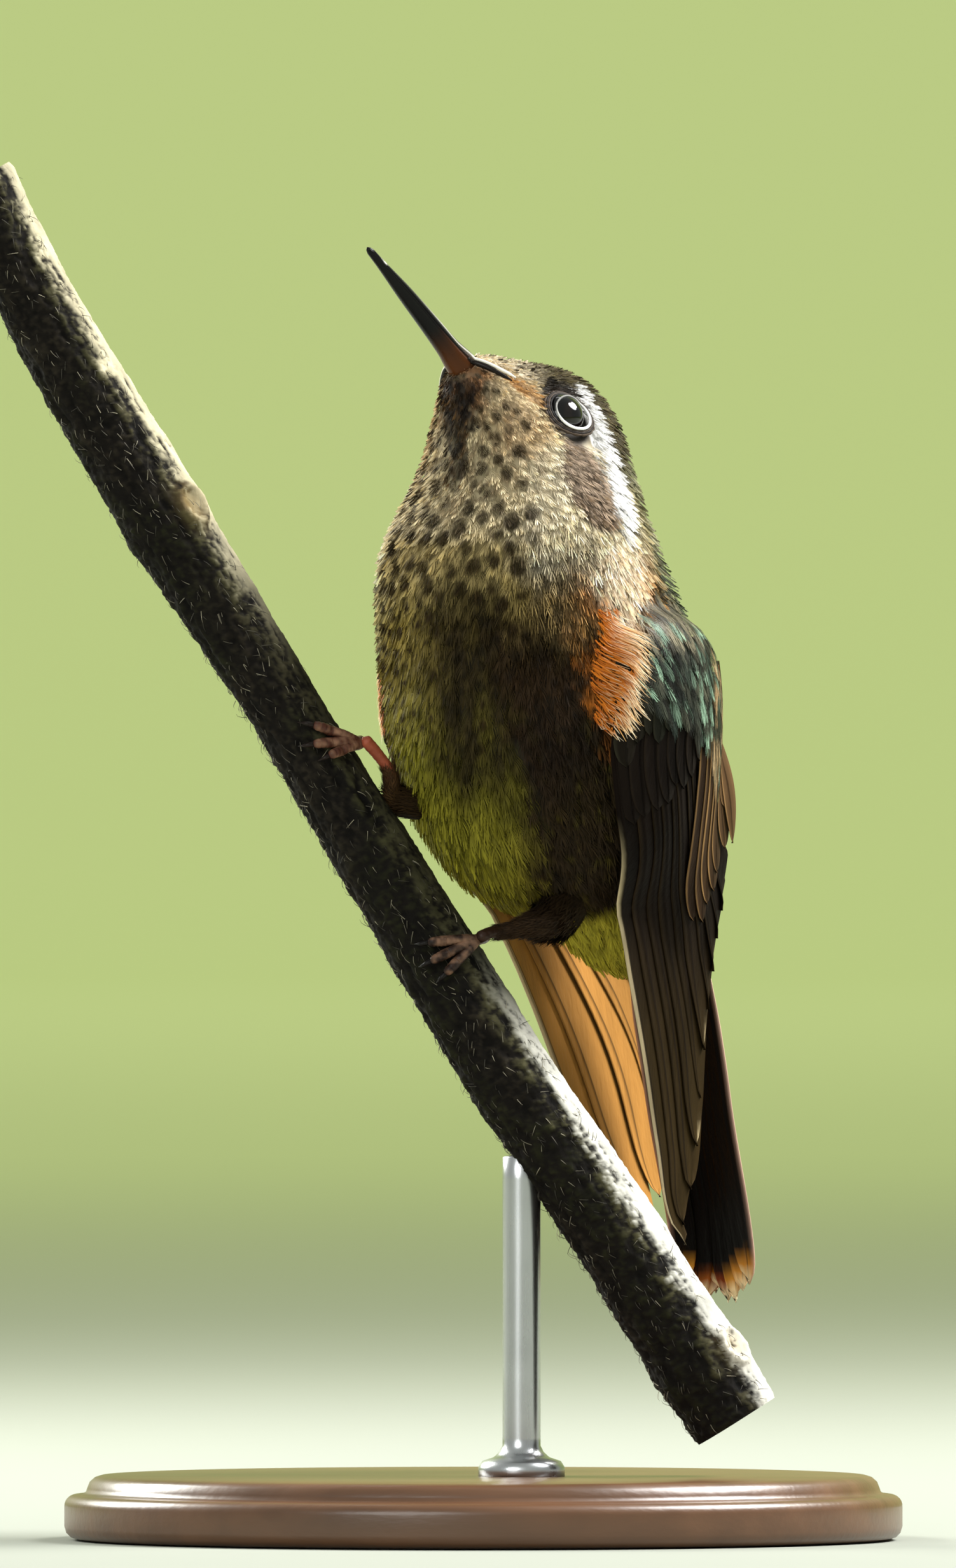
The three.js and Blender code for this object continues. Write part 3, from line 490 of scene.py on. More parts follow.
def plumage(p, w, th):
    """The coat's colour at places p, and how strongly and how large it is spotted.
    w is the ring, th the angle round from the front's middle line, in degrees."""
    b, u, l = to_head(p)
    h = np.stack([b, u, np.abs(l)], -1)
    f, s, z = to_bird(p)
    a = np.minimum(th, 360 - th)                       # 0 front, 180 back
    nz = noise(p, 2.2, 2) - 0.5
    nf = noise(p + 31.0, 0.8, 2) - 0.5
    ww, aa = w + nz * 16, a + nz * 18
    # front of the body, from the vent up to the chin
    col = mix(C_OLIVE, C_BELLY, step(60, 85, ww))
    col = mix(col, C_BREAST, step(112, 160, ww))
    col = mix(col, C_THROAT, step(166, 200, ww))
    col = mix(col, C_CREAM, step(200, 228, ww) * 0.8)
    # streaked down the breast and belly, dusky down the middle of the breast
    streak = noise(np.stack([f * 1.1, s * 1.1, z * 0.35], -1), 1.0, 3) - 0.5
    col = col * (1 + 1.1 * streak * (1 - 0.6 * step(190, 230, w)))[..., None]
    ths = np.where(th > 180, th - 360, th)             # signed: the bird's left is positive
    dusk = step(88, 118, ww) * (1 - step(-14, 16, ww - ease(ths, -30, 150, -8, 168, 8, 182, 26, 180, 38, 160, 60, 150))) * (1 - step(20, 40, np.abs(ths - 24) + nz * 12))
    col = mix(col, rgb(36, 26, 12), dusk * np.clip(0.86 + 0.9 * streak, 0, 0.95))
    # painted shade on the lower belly's left side, painted light on the belly's right side
    low_belly = step(18, 32, ww) * (1 - step(84, 104, ww))
    col = mix(col, rgb(80, 66, 24), low_belly * step(-4, 24, ths) * 0.55)
    col = mix(col, rgb(166, 164, 78), step(14, 60, -ths) * (1 - step(96, 130, ww)) * step(30, 50, ww) * 0.4)
    # orange-brown round the root of the bill's lower half
    gum = (1 - step(1.0, 2.6, b)) * (1 - step(-0.4, 0.6, u)) * (1 - step(1.9, 3.2, np.abs(l)))
    # flanks: nearly black brown, rufous close under the wing's bend
    begin = np.where(ths > 0, ease(w, 40, 6, 66, 10, 84, 17, 110, 19), 42.0)
    low = np.where(ths > 0, ease(np.abs(ths), 8, 50, 24, 36), 48.0)
    flank = step(begin, begin + 17, aa) * (1 - step(144, 164, ww)) * step(low - 5, low + 5, w + nz * 6)
    col = mix(col, C_FLANK * (1 + 0.5 * nz)[..., None], np.clip(flank * (1.06 + 0.9 * nf), 0, 0.97))
    # painted shade: the breast's left side, below the neck, darkened
    shade = step(14, 34, aa) * step(118, 144, ww) * (1 - step(158, 176, ww)) * (1 - step(70, 88, aa))
    col = mix(col, rgb(52, 36, 18), shade * 0.7 * (ths > 0))
    col = mix(col, rgb(196, 184, 62), (1 - step(28, 40, w + nz * 8)) * (1 - step(70, 96, aa)) * 0.8)
    ruf = step(53, 61, aa) * (1 - step(80, 94, aa)) * step(108, 122, ww) * (1 - step(150, 162, ww)) * np.where(ths > 0, 1.0, 0.12)
    col = mix(col, C_RUFOUS, np.clip(ruf * (0.85 + 0.9 * nf), 0, 1))
    # side of the neck: buff to nearly white beside the wing's bend
    side = step(26, 50, aa) * (1 - step(96, 112, aa)) * step(154, 168, ww)
    buff = mix(rgb(160, 134, 90), C_BUFF, step(48, 64, aa))
    buff = np.where((ths > 0)[..., None], buff, rgb(196, 186, 140))
    col = mix(col, mix(buff, C_NECK, step(174, 200, ww)), side * 0.85)
    pale = step(62, 76, aa) * (1 - step(88, 102, aa)) * step(156, 168, ww) * (1 - step(190, 204, ww))
    col = mix(col, C_PALE, pale * 0.9)
    # hind neck, back and rump
    back = step(94, 112, aa)
    up_col = mix(C_BACK, mix(C_NAPE, rgb(84, 88, 56), step(122, 146, aa)), step(150, 205, ww))
    up_col = mix(up_col, C_CROWN, step(205, 232, ww))
    teal = step(120, 150, ww) * (1 - step(176, 196, ww)) * (1 - step(140, 165, aa))
    up_col = mix(up_col, C_TEAL, teal * 0.45)
    up_col = up_col * (1 + 0.9 * (noise(p + 11.0, 1.1, 2) - 0.5))[..., None]
    col = mix(col, up_col, back)
    # head: soft edges where one field of feathers gives way to the next
    edge = lambda d: 1 - step(0.82, 1.12, d + nf * 0.35)
    fore = (1 - step(2.6, 5.2, b + nf)) * step(-0.4, 1.0, u - 0.25 * np.abs(l))
    col = mix(col, C_FOREHEAD, fore * 0.9)
    cheek = step(236, 252, w) * step(20, 40, a) * (1 - step(95, 115, a))
    col = mix(col, rgb(200, 172, 124), cheek * 0.6)
    wash = step(240, 250, ww) * (1 - step(262, 274, ww)) * step(34, 46, aa) * (1 - step(72, 84, aa))
    col = mix(col, rgb(206, 154, 96), wash * 0.18)
    col = mix(col, C_EAR, edge(along_line(h, EAR, EAR_HALF)) * 0.92)
    col = mix(col, C_LORE, np.clip(edge(along_line(h, LORE, LORE_HALF)) * (0.9 + 1.2 * nf), 0, 1))
    col = mix(col, C_DARK, edge(along_line(h, BROW, BROW_HALF)) * 0.92)
    col = mix(col, mix(rgb(150, 92, 44), rgb(52, 32, 16), step(-0.1, 0.2, nf)), gum * 0.85)
    chin = edge(along_line(h, CHIN, CHIN_HALF) + 1.0 * nz + 1.5 * nf)
    mott = step(-0.14, 0.10, noise(np.stack([b * 1.0, u * 1.0, l * 2.6], -1), 1.0, 3) - 0.5)
    col = mix(col, rgb(25, 16, 9), chin * (0.72 + 0.26 * mott))
    # the cheek is scaly: fine brown flecks
    fleck = step(0.02, 0.12, noise(np.stack([b * 1.6, u * 1.6, l * 3.2], -1), 1.0, 2) - 0.5)
    cheeky = step(222, 236, w) * (1 - step(272, 284, w)) * (1 - step(52, 72, a))
    col = mix(col, rgb(112, 82, 46), fleck * cheeky * 0.55)
    col = mix(col, C_STRIPE, edge(along_line(h, STRIPE, STRIPE_HALF)))
    around = np.linalg.norm(np.cross(h - EYE, np.array([0.0, 0.0, 1.0])), axis=-1)
    col = mix(col, rgb(44, 34, 27), (1 - step(2.1, 2.9, around)) * step(3.0, 4.0, np.abs(l)))
    # spots: bold on the throat, small down the breast, gone on the belly
    far = ease(w, 130, 50, 158, 34, 196, 34, 238, 36, 254, 52)
    spot = (1 - step(far, far + 17, aa)) * step(96, 124, w)
    spot = np.maximum(spot * (1 - 0.35 * step(150, 110, w)), 0)
    spot = spot * (1 - 0.75 * side * (1 - step(205, 222, ww)))
    size = ease(w, 96, 0.38, 125, 0.5, 150, 0.6, 175, 0.78, 205, 0.92, 235, 0.88, 262, 0.62, 280, 0.4)
    spot = np.maximum(spot, 0.9 * (1 - step(1.0, 2.2, along_line(h, CHIN, CHIN_HALF))))
    crown = step(112, 130, a) * step(215, 235, w)
    spot = np.maximum(spot, crown * 0.55 + fore * 0.5)
    size = np.where(crown > 0.5, 0.44, np.where(fore > 0.5, 0.40, size))
    spot = spot * (1 - edge(along_line(h, STRIPE, STRIPE_HALF))) * (1 - edge(along_line(h, EAR, EAR_HALF)))
    spot = spot * (1 - 0.8 * edge(along_line(h, LORE, LORE_HALF)))
    return np.clip(col, 0.002, 1), np.clip(spot, 0, 1), size


# ------------------------------------------------------------------------- skin
def coat_depth(w, th, p):
    """How deep the coat is, skin to tips: shallow on the face."""
    d = ease(w, 0, 0.9, 60, 1.0, 150, 1.0, 200, 0.9, 232, 0.7, 262, 0.42, 300, 0.25)
    return d


_w = np.arange(GRID_N)[:, None] + np.zeros((1, GRID_SIDES))
_th = np.zeros((GRID_N, 1)) + 360.0 * np.arange(GRID_SIDES)[None, :] / GRID_SIDES
INNER = GRID_O + reach(GRID_O, GRID_D, out=-coat_depth(_w, _th, OUTER))[..., None] * GRID_D
# how far along the body each ring is, by the area it has passed: even unwrapping
_ring = np.linalg.norm(np.diff(np.concatenate([OUTER, OUTER[:, :1]], 1), axis=1), axis=-1)
_gap = np.linalg.norm(np.diff(OUTER, axis=0), axis=-1)
_area = (0.5 * (_ring[1:] + _ring[:-1]) * _gap).sum(1)
RING_V = np.concatenate([[0], np.cumsum(_area)])
OUTER_AREA = float(RING_V[-1])
RING_V = 0.01 + 0.98 * RING_V / RING_V[-1]
_skin_col, _sp, _sz = plumage(OUTER, _w, _th)
_quads = grid_quads(GRID_N, GRID_SIDES, closed=True)
_ii, _jj = np.meshgrid(np.arange(GRID_N - 1), np.arange(GRID_SIDES), indexing="ij")
_u0, _u1 = _jj / GRID_SIDES, (_jj + 1) / GRID_SIDES
_v0, _v1 = RING_V[_ii], RING_V[_ii + 1]
_luv = np.stack([np.stack([_u0, _v0], -1), np.stack([_u1, _v0], -1), np.stack([_u1, _v1], -1), np.stack([_u0, _v1], -1)], -2).reshape(-1, 4, 2)
skin = mesh_of("skin", INNER.reshape(-1, 3), _quads, mix(_skin_col, _skin_col * 0.55, np.full(_w.shape, 0.8)).reshape(-1, 3),
               MAT_SKIN, loop_uv=_luv, replaces=("trunk", "neck", "head"))


# ------------------------------------------------------------------------- coat
def table(x, w, th):
    """A table over the rings, read at ring w and angle th."""
    i = np.clip(np.floor(w).astype(int), 0, GRID_N - 2)
    k = (w - i)[..., None]
    t = (th % 360) / 360 * GRID_SIDES
    j = np.floor(t).astype(int)
    m = (t - j)[..., None]
    j0, j1 = j % GRID_SIDES, (j + 1) % GRID_SIDES
    return (x[i, j0] * (1 - k) + x[i + 1, j0] * k) * (1 - m) + (x[i, j1] * (1 - k) + x[i + 1, j1] * k) * m


_lie = np.zeros_like(OUTER)
_lie[1:-1] = OUTER[:-2] - OUTER[2:]
_lie[0], _lie[-1] = _lie[1], _lie[-2]
_lie = unit(_lie)                                      # tail-ward
EYE_AT = {1: on_head(EYE_BACK, EYE_UP, EYE_OUT), -1: on_head(EYE_BACK, EYE_UP, -EYE_OUT)}


def scatter(spacing, seed, tries=26000, where=None):
    """Even but irregular places over the coat, spacing apart (a function)."""
    g = np.random.default_rng(seed)
    v = g.random(tries)
    w = np.interp(0.01 + 0.98 * v, RING_V, np.arange(GRID_N))
    th = g.random(tries) * 360
    # more tries where a ring's points lie further apart
    p = table(OUTER, w, th)
    ok = np.ones(tries, bool) if where is None else where(p, w, th)
    p, w, th = p[ok], w[ok], th[ok]
    r = spacing(p, w, th)
    cell = max(0.4, float(r.max()))
    grid, kept = {}, []
    key = np.floor(p / cell).astype(int)
    for i in range(len(p)):
        kx, ky, kz = key[i]
        ri, pi, good = r[i], p[i], True
        for dx in (-1, 0, 1):
            for dy in (-1, 0, 1):
                for dz in (-1, 0, 1):
                    for j in grid.get((kx + dx, ky + dy, kz + dz), ()):
                        d = p[j] - pi
                        if d[0] * d[0] + d[1] * d[1] + d[2] * d[2] < ri * ri:
                            good = False
                            break
                    if not good:
                        break
                if not good:
                    break
            if not good:
                break
        if good:
            grid.setdefault((kx, ky, kz), []).append(i)
            kept.append(i)
    kept = np.array(kept)
    return p[kept], w[kept], th[kept]


def vane(sides, segs, spread, start, narrow, tip=0.12):
    """A feather of barbs: arrays over its points of place along (a), across (b),
    across within a barb (e, -1 or 1), and which barb; and its faces."""
    a, b, e, k, q = [], [], [], [], []
    barbs = [(0.0, 1.0)] + [(s, (i + 1) / sides) for i in range(sides) for s in (-1, 1)]
    n = 0
    for bi, (s, x) in enumerate(barbs):
        root = start + (0.72 - start) * (1 - x)              # outer barbs leave lower down
        end_b = s * (x ** 0.9)
        end_a = 1.0 - 0.42 * x ** 2.0
        for i in range(segs + 1):
            t = i / segs
            aa = root + (end_a - root) * t
            bb = end_b * (1 - (1 - t) ** 1.7)
            half = narrow * (1 - t) ** 0.7 * (0.75 + 0.5 * t) + narrow * tip * t
            for side in (-1, 1):
                a.append(aa)
                b.append(bb)
                e.append(side * half)
                k.append(bi)
        for i in range(segs):
            o = n + 2 * i
            q.append([o, o + 1, o + 3, o + 2])
        n += 2 * (segs + 1)
    return dict(a=np.array(a), b=np.array(b), e=np.array(e), k=np.array(k), q=np.array(q), barbs=len(barbs), spread=spread)


def plate_vane(cols, rows, fray):
    """A closed, rounded feather: a small curved plate."""
    a, b = np.meshgrid(np.linspace(0, 1, rows), np.linspace(-1, 1, cols), indexing="ij")
    shape = np.where(a < 0.55, 0.62 + 0.38 * np.sin(a / 0.55 * np.pi / 2), np.sqrt(np.maximum(0, 1 - ((a - 0.55) / 0.46) ** 2)) * 0.98 + 0.02)
    return dict(a=a.ravel(), b=(b * shape).ravel(), e=np.zeros(a.size), k=np.tile(np.arange(cols), rows), q=grid_quads(rows, cols), barbs=cols, spread=fray)


def lay(p, w, th, length, width, depth, rise, shape, seed, turn=0.0, surface=None, ruffle=0.05, lift_power=1.3):
    """Lays one feather of the given shape at each place.  Returns places, faces,
    OFBake places, how far along the feather each point lies, and each feather's direction."""
    g = np.random.default_rng(seed)
    m, n = len(p), len(shape["a"])
    d = unit(table(_lie, w, th))
    nrm = unit(body_gradient(p))
    d = unit(d - nrm * (d * nrm).sum(-1, keepdims=True))
    for s in (1, -1):                                   # the lie parts round the eyes
        r = p - EYE_AT[s]
        ax = HLEFT * s
        out = r - (r @ ax)[:, None] * ax
        dist = np.linalg.norm(out, axis=-1, keepdims=True)
        o = out / np.maximum(dist, 1e-6)
        inward = np.minimum((d * o).sum(-1, keepdims=True), 0)
        near = (np.linalg.norm(r, axis=-1, keepdims=True) < 6)
        d = np.where(near, unit(d - o * inward * np.clip((2.7 / np.maximum(dist, 0.1)) ** 2, 0, 1.15)), d)
    side = np.cross(nrm, d)
    ang = (g.normal(0, 0.10, m) + turn)[:, None]
    d2 = d * np.cos(ang) + side * np.sin(ang)
    side2 = np.cross(nrm, d2)
    L = np.broadcast_to(length, (m,)) * g.uniform(0.88, 1.12, m)
    W = np.broadcast_to(width, (m,)) * g.uniform(0.9, 1.1, m)
    a, b, e, k = shape["a"], shape["b"], shape["e"], shape["k"]
    wob_b = g.normal(0, 0.035, (m, shape["barbs"]))[:, k] * a
    wob_a = 1 + g.normal(0, 0.05, (m, shape["barbs"]))[:, k] * np.clip((a - 0.4) * 2, 0, 1)
    tilt = g.normal(0, 1.0, (m, shape["barbs"]))[:, k]
    hi = g.normal(0, 1.0, (m, shape["barbs"]))[:, k]
    along = a[None, :] * wob_a * L[:, None]
    across = (b[None, :] + wob_b) * W[:, None] * 0.5 + e[None, :] * W[:, None] * 0.5
    pos = p[:, None, :] + d2[:, None, :] * along[..., None] + side2[:, None, :] * across[..., None]
    dep, ris = np.broadcast_to(depth, (m,)), np.broadcast_to(rise, (m,))
    t = np.clip(along / L[:, None], 0, 1.2) ** lift_power
    height = -dep[:, None] * (1 - t) + ris[:, None] * t - 0.10 * W[:, None] * b[None, :] ** 2
    height = height + ruffle * (0.5 * hi + tilt * np.sign(e)[None, :]) * np.clip(a, 0.25, 1)[None, :]
    if surface is None:
        pos = settle(pos, height)
    else:
        pos = surface(pos, height)
    u0, v0 = (th % 360) / 360, np.interp(w, np.arange(GRID_N), RING_V)
    uv = np.stack([u0[:, None] + 0.0015 * (b[None, :] + e[None, :]) + 0 * along, v0[:, None] - 0.003 * a[None, :] + 0 * along], -1)
    quads = shape["q"][None, :, :] + (np.arange(m) * n)[:, None, None]
    return pos, quads.reshape(-1, 4), uv, along, d2


def spot_places(seed):
    """Middles of the dark spots: one to a feather, so as far apart as feathers."""
    gap = lambda p, w, th: ease(w, 90, 1.2, 125, 1.2, 150, 1.28, 178, 1.45, 212, 1.5, 240, 1.28, 262, 1.0, 285, 0.75)
    return scatter(gap, seed, tries=14000, where=lambda p, w, th: (w > 88))


SP_P, SP_W, SP_TH = spot_places(5)
SP_D = unit(table(_lie, SP_W, SP_TH))
_, SP_S, SP_R = plumage(SP_P, SP_W, SP_TH)
_g = np.random.default_rng(12)
SP_R = SP_R * _g.uniform(0.82, 1.15, len(SP_R))
SP_KEEP = (SP_S > _g.uniform(0.08, 0.42, len(SP_S)))
SP_P, SP_D, SP_S, SP_R, SP_W = SP_P[SP_KEEP], SP_D[SP_KEEP], SP_S[SP_KEEP], SP_R[SP_KEEP], SP_W[SP_KEEP]


def with_spots(pos, col, root):
    """Darkens the places that fall on a spot.  root: a place for each feather."""
    d2 = ((root ** 2).sum(1)[:, None] + (SP_P ** 2).sum(1)[None, :] - 2 * root @ SP_P.T)
    near = np.argsort(d2, axis=1)[:, :5]
    dark = np.zeros(pos.shape[:2])
    for k in range(near.shape[1]):
        c, d, r, s = SP_P[near[:, k]][:, None], SP_D[near[:, k]][:, None], SP_R[near[:, k]][:, None], SP_S[near[:, k]][:, None]
        q = (pos - c) * (1 + 0.35 * (noise(pos, 0.5, 2) - 0.5))[..., None]
        al = (q * d).sum(-1)
        ac = np.sqrt(np.maximum((q * q).sum(-1) - al * al, 0))
        x = np.sqrt((al / (r * 1.12)) ** 2 + (ac / (r * 0.88)) ** 2)
        dark = np.maximum(dark, (1 - step(0.66, 1.06, x)) * np.clip(0.45 + s, 0, 1))
    return mix(col, np.minimum(C_SPOT, col * 0.40), dark * 0.95)


SOFT = vane(7, 3, 0, 0.16, 0.085)
FINE = vane(4, 3, 0, 0.12, 0.14)
HAIR = vane(4, 3, 0, 0.05, 0.07)
SCALE = plate_vane(7, 7, 0)


def coat(name, spacing, where, length, width, rise, shape, seed, mat, ruffle=0.05, tries=26000, spots=True, change=0.10, turn=0.0, tip=None, lift_power=1.3):
    p, w, th = scatter(spacing, seed, tries, where)
    for s in (1, -1):                                   # none rooted on the lids
        r = p - EYE_AT[s]
        out = np.linalg.norm(r - (r @ (HLEFT * s))[:, None] * (HLEFT * s), axis=-1)
        ok = (out > 2.1) | (np.linalg.norm(r, axis=-1) > 5)
        p, w, th = p[ok], w[ok], th[ok]
    L, W = length(p, w, th), width(p, w, th)
    turn = turn(p, w, th) if callable(turn) else turn
    dep = coat_depth(w, th, p) * 0.9
    pos, quads, uv, along, d = lay(p, w, th, L, W, dep, rise(p, w, th), shape, seed + 1, ruffle=ruffle, turn=turn, lift_power=lift_power)
    ww = w[:, None] - along * 3.4 * 0.6
    at = p[:, None, :] + (pos - p[:, None, :]) * 0.75
    col, _, _ = plumage(at, np.broadcast_to(w[:, None], at.shape[:2]) - along * 2.6, np.broadcast_to(th[:, None], at.shape[:2]))
    if spots:
        col = with_spots(pos, col, p + d * (L * 0.6)[:, None])
    g = np.random.default_rng(seed + 2)
    vary = g.normal(0, change, (len(p), 1, 1)) + g.normal(0, change, (len(p), shape["barbs"]))[:, shape["k"]][..., None]
    vary = np.clip(vary, -0.5, 0.5)
    a = shape["a"][None, :, None]
    # painted shade: each feather darker towards its root, under the feathers that overlap it
    col = col * (1 + vary) * (0.80 + 0.26 * np.clip(a, 0, 1))
    if tip is not None:
        col = tip(col, a[..., 0] + 0 * along, shape["b"][None, :] + 0 * along, p, w, th)
    # none may reach over the eye
    bad = np.zeros(len(p), bool)
    for s in (1, -1):
        r = pos - EYE_AT[s]
        out = np.linalg.norm(r - (r @ (HLEFT * s))[..., None] * (HLEFT * s), axis=-1)
        bad |= ((out < 1.78) & ((r @ (HLEFT * s)) > 0)).any(1)
    if bad.any():
        keepf = ~bad
        pos, uv, col = pos[keepf], uv[keepf], col[keepf]
        m, n = pos.shape[:2]
        quads = (shape["q"][None] + (np.arange(m) * n)[:, None, None]).reshape(-1, 4)
    count = len(quads) * 2
    print("coat", name, len(pos), "feathers", count, "triangles")
    return mesh_of(name, pos.reshape(-1, 3), quads, col.reshape(-1, 3), mat, uv=uv.reshape(-1, 2))


def is_head(p, w, th):
    return w > 214


def fold(th):
    return np.minimum(th % 360, 360 - th % 360)


def under_wing(p):
    """True where a folded wing covers the coat for good."""
    f, l, z = to_bird(p)
    front = ease(z, 44, -5.5, 48.5, -3.6, 53, -1.0, 58, 1.7, 63, 3.2, 69, 2.4) - np.where(l < 0, 1.9, 0)
    return (np.abs(l) > 5) & (z < 69) & (z > 36) & (f < front) & (f > -13.2)
open_coat = lambda p, w, th: ~under_wing(p)
CONST = lambda x: (lambda p, w, th: np.full(len(w), float(x)))


def crown_rims(col, a, b, p, w, th):
    """Crown and nape feathers have dark middles and paler rims."""
    top = step(104, 122, fold(th))[:, None] * step(196, 214, w)[:, None]
    rim = np.clip(step(0.45, 0.8, np.abs(b)) + step(0.8, 0.98, a), 0, 1)
    return col * (1 + top * (0.75 * rim - 0.40))[..., None]


def neck_gaps(col, a, b, p, w, th):
    """Under the long pale barbs of the neck's side the coat is dusky."""
    x = step(28, 44, fold(th)) * (1 - step(100, 116, fold(th))) * step(150, 162, w) * (1 - step(196, 212, w))
    x = x * (1 - 0.7 * step(62, 74, fold(th)))
    return col * (1 - 0.72 * x)[:, None, None]


def scaly(col, a, b, p, w, th):
    """Small feathers of face and throat: dusky roots and sides, pale ends."""
    front = (1 - step(104, 118, fold(th)))[:, None]
    k = 0.74 + 0.36 * np.clip(a, 0, 1) - 0.26 * step(0.5, 0.95, np.abs(b)) * (1 - step(0.78, 1.0, a))
    return col * (1 + front * (k - 1))[..., None]


def scaly_head(col, a, b, p, w, th):
    return scaly(crown_rims(col, a, b, p, w, th), a, b, p, w, th)


def scaly_throat(col, a, b, p, w, th):
    return scaly(neck_gaps(col, a, b, p, w, th), a, b, p, w, th)


def pale_barbs(col, a, b, p, w, th):
    return np.clip(col * (0.52 + 0.84 * np.clip(a, 0, 1))[..., None], 0, 1)


# face and crown: the smallest feathers, growing towards the neck
coat("coat_head", lambda p, w, th: ease(w, 214, 0.48, 240, 0.38, 262, 0.31, 285, 0.25, 299, 0.2),
     lambda p, w, th: is_head(p, w, th), lambda p, w, th: ease(w, 214, 1.9, 240, 1.45, 262, 1.1, 285, 0.8, 299, 0.5),
     lambda p, w, th: ease(w, 214, 1.05, 240, 0.8, 262, 0.62, 285, 0.44, 299, 0.3), CONST(0.03), FINE, 101,
     MAT_HEAD, ruffle=0.03, tries=60000, tip=scaly_head, change=0.16)
# throat and front of the neck, spotted
coat("coat_throat", CONST(0.56), lambda p, w, th: (w > 166) & (w <= 222) & (fold(th) < 112),
     lambda p, w, th: ease(w, 168, 2.5, 222, 1.9), lambda p, w, th: ease(w, 168, 1.4, 222, 1.1), CONST(0.04), SOFT, 111,
     MAT_BODY, ruffle=0.04, tries=40000, tip=scaly_throat, change=0.16)
# long hair-like barbs on the side of the neck
coat("coat_neck_side", CONST(0.6), lambda p, w, th: (w > 152) & (w <= 214) & (fold(th) > 30) & (fold(th) < 108) & open_coat(p, w, th),
     CONST(2.4), CONST(1.4), CONST(0.14), HAIR, 121, MAT_BODY, ruffle=0.06, tries=40000, tip=pale_barbs, change=0.24)
# breast and belly
coat("coat_breast", CONST(0.62), lambda p, w, th: (w > 108) & (w <= 170) & (fold(th) < 104) & open_coat(p, w, th),
     CONST(2.6), CONST(1.5), CONST(0.04), SOFT, 131, MAT_BODY, ruffle=0.03, tries=40000, tip=neck_gaps)
coat("coat_belly", CONST(0.66), lambda p, w, th: (w > 4) & (w <= 112) & (fold(th) < 112) & open_coat(p, w, th),
     CONST(2.9), CONST(1.6), CONST(0.04), SOFT, 141, MAT_BODY, ruffle=0.032, tries=40000, change=0.13)
# hind neck, back and rump
coat("coat_nape", lambda p, w, th: ease(w, 150, 0.78, 216, 0.55), lambda p, w, th: (w > 148) & (w <= 218) & (fold(th) >= 100) & open_coat(p, w, th),
     lambda p, w, th: ease(w, 150, 2.7, 216, 1.9), lambda p, w, th: ease(w, 150, 1.9, 216, 1.2),
     lambda p, w, th: 0.05 + 0.42 * step(158, 174, w) * (1 - step(182, 204, w)) * (1 - step(124, 146, fold(th))) * step(84, 100, fold(th)), SOFT, 151,
     MAT_BODY, ruffle=0.03, tries=40000, tip=crown_rims, change=0.2)
coat("coat_back", CONST(0.85), lambda p, w, th: (w > 4) & (w <= 152) & (fold(th) >= 100) & open_coat(p, w, th),
     CONST(3.3), CONST(2.3), CONST(0.06), SOFT, 161, MAT_GREEN, ruffle=0.02, tries=40000)




# ------------------------------------------------------------------------ wings
WING_TOP, WING_TIP = 72.6, 23.0
TRAIL = {1: (23, -13.9, 24.8, -15.2, 33, -15.0, 42, -14.8, 47, -15.0, 53, -15.5, 59, -15.0, 64, -13.5, 68, -10.9, 71, -7.4, 72.4, -4.2, 72.6, -2.4),
         -1: (23, -21.2, 25.5, -23.3, 31, -23.3, 38, -22.8, 44, -22.0, 48, -20.9, 52, -18.6, 56, -16.0, 60, -14.7, 64, -13.5, 68, -10.9, 71, -7.4, 72.4, -4.2, 72.6, -2.4)}
LEAD = {1: (23, -12.8, 24.5, -11.2, 31, -8.6, 38, -6.2, 44, -3.8, 48.5, -1.8, 53, 0.9, 58, 3.6, 63, 5.0, 68, 5.0, 71, 3.6, 72.4, 1.6, 72.6, 0.2),
        -1: (23, -18.6, 25, -16.4, 30, -12.8, 36, -9.6, 41.3, -7.1, 46, -4.7, 50, -2.5, 54, -0.2, 58, 1.8, 63, 3.3, 68, 3.3, 71, 1.9, 72.4, -0.1, 72.6, -1.5)}


def wing_lead(z, s):
    return ease(z, *LEAD[s])


def wing_trail(z, s):
    return ease(z, *TRAIL[s])


def wing_plane(z, v, s):
    a = ease(z, 23, 4.2, 31, 4.9, 44, 6.1, 50, 6.9, 58, 7.6, 72.6, 7.4)
    b = ease(z, 23, 3.9, 31, 4.4, 44, 5.6, 50, 6.4, 58, 7.2, 72.6, 5.0)
    x = a + (b - a) * v
    return x + (1.6 * v * step(20, 29, z) * (1 - step(48, 56, z)) if s < 0 else 0)


# the body's flank, out from its middle plane, over (f, z)
FT_F, FT_Z = np.arange(-26.0, 10.01, 0.4), np.arange(18.0, 80.01, 0.5)
_ff, _zz = np.meshgrid(FT_F, FT_Z, indexing="ij")
_l = np.full(_ff.shape, 15.0)
for _ in range(40):
    _l = np.maximum(_l - body_distance(bird(_ff, _l, _zz)) * 0.85, 0.0)
_flank = np.where((np.abs(body_distance(bird(_ff, _l, _zz))) < 0.05) & (_l > 0.01), _l, -1.0)
_near = _flank.copy()
for _di in (-2, 0, 2):
    for _dj in (-2, 0, 2):
        if _di == 0 or _dj == 0:
            _near = np.maximum(_near, np.roll(np.roll(_flank, _di, 0), _dj, 1))


def read(tab, f, z):
    x = np.clip((f - FT_F[0]) / 0.4, 0, len(FT_F) - 1.001)
    y = np.clip((z - FT_Z[0]) / 0.5, 0, len(FT_Z) - 1.001)
    i, j = x.astype(int), y.astype(int)
    a, b = x - i, y - j
    return (tab[i, j] * (1 - a) + tab[i + 1, j] * a) * (1 - b) + (tab[i, j + 1] * (1 - a) + tab[i + 1, j + 1] * a) * b


_uu = np.linspace(0, 1, 400)
_zu = WING_TOP + (WING_TIP - WING_TOP) * (0.25 * _uu ** 2 + 0.75 * _uu ** 1.25)


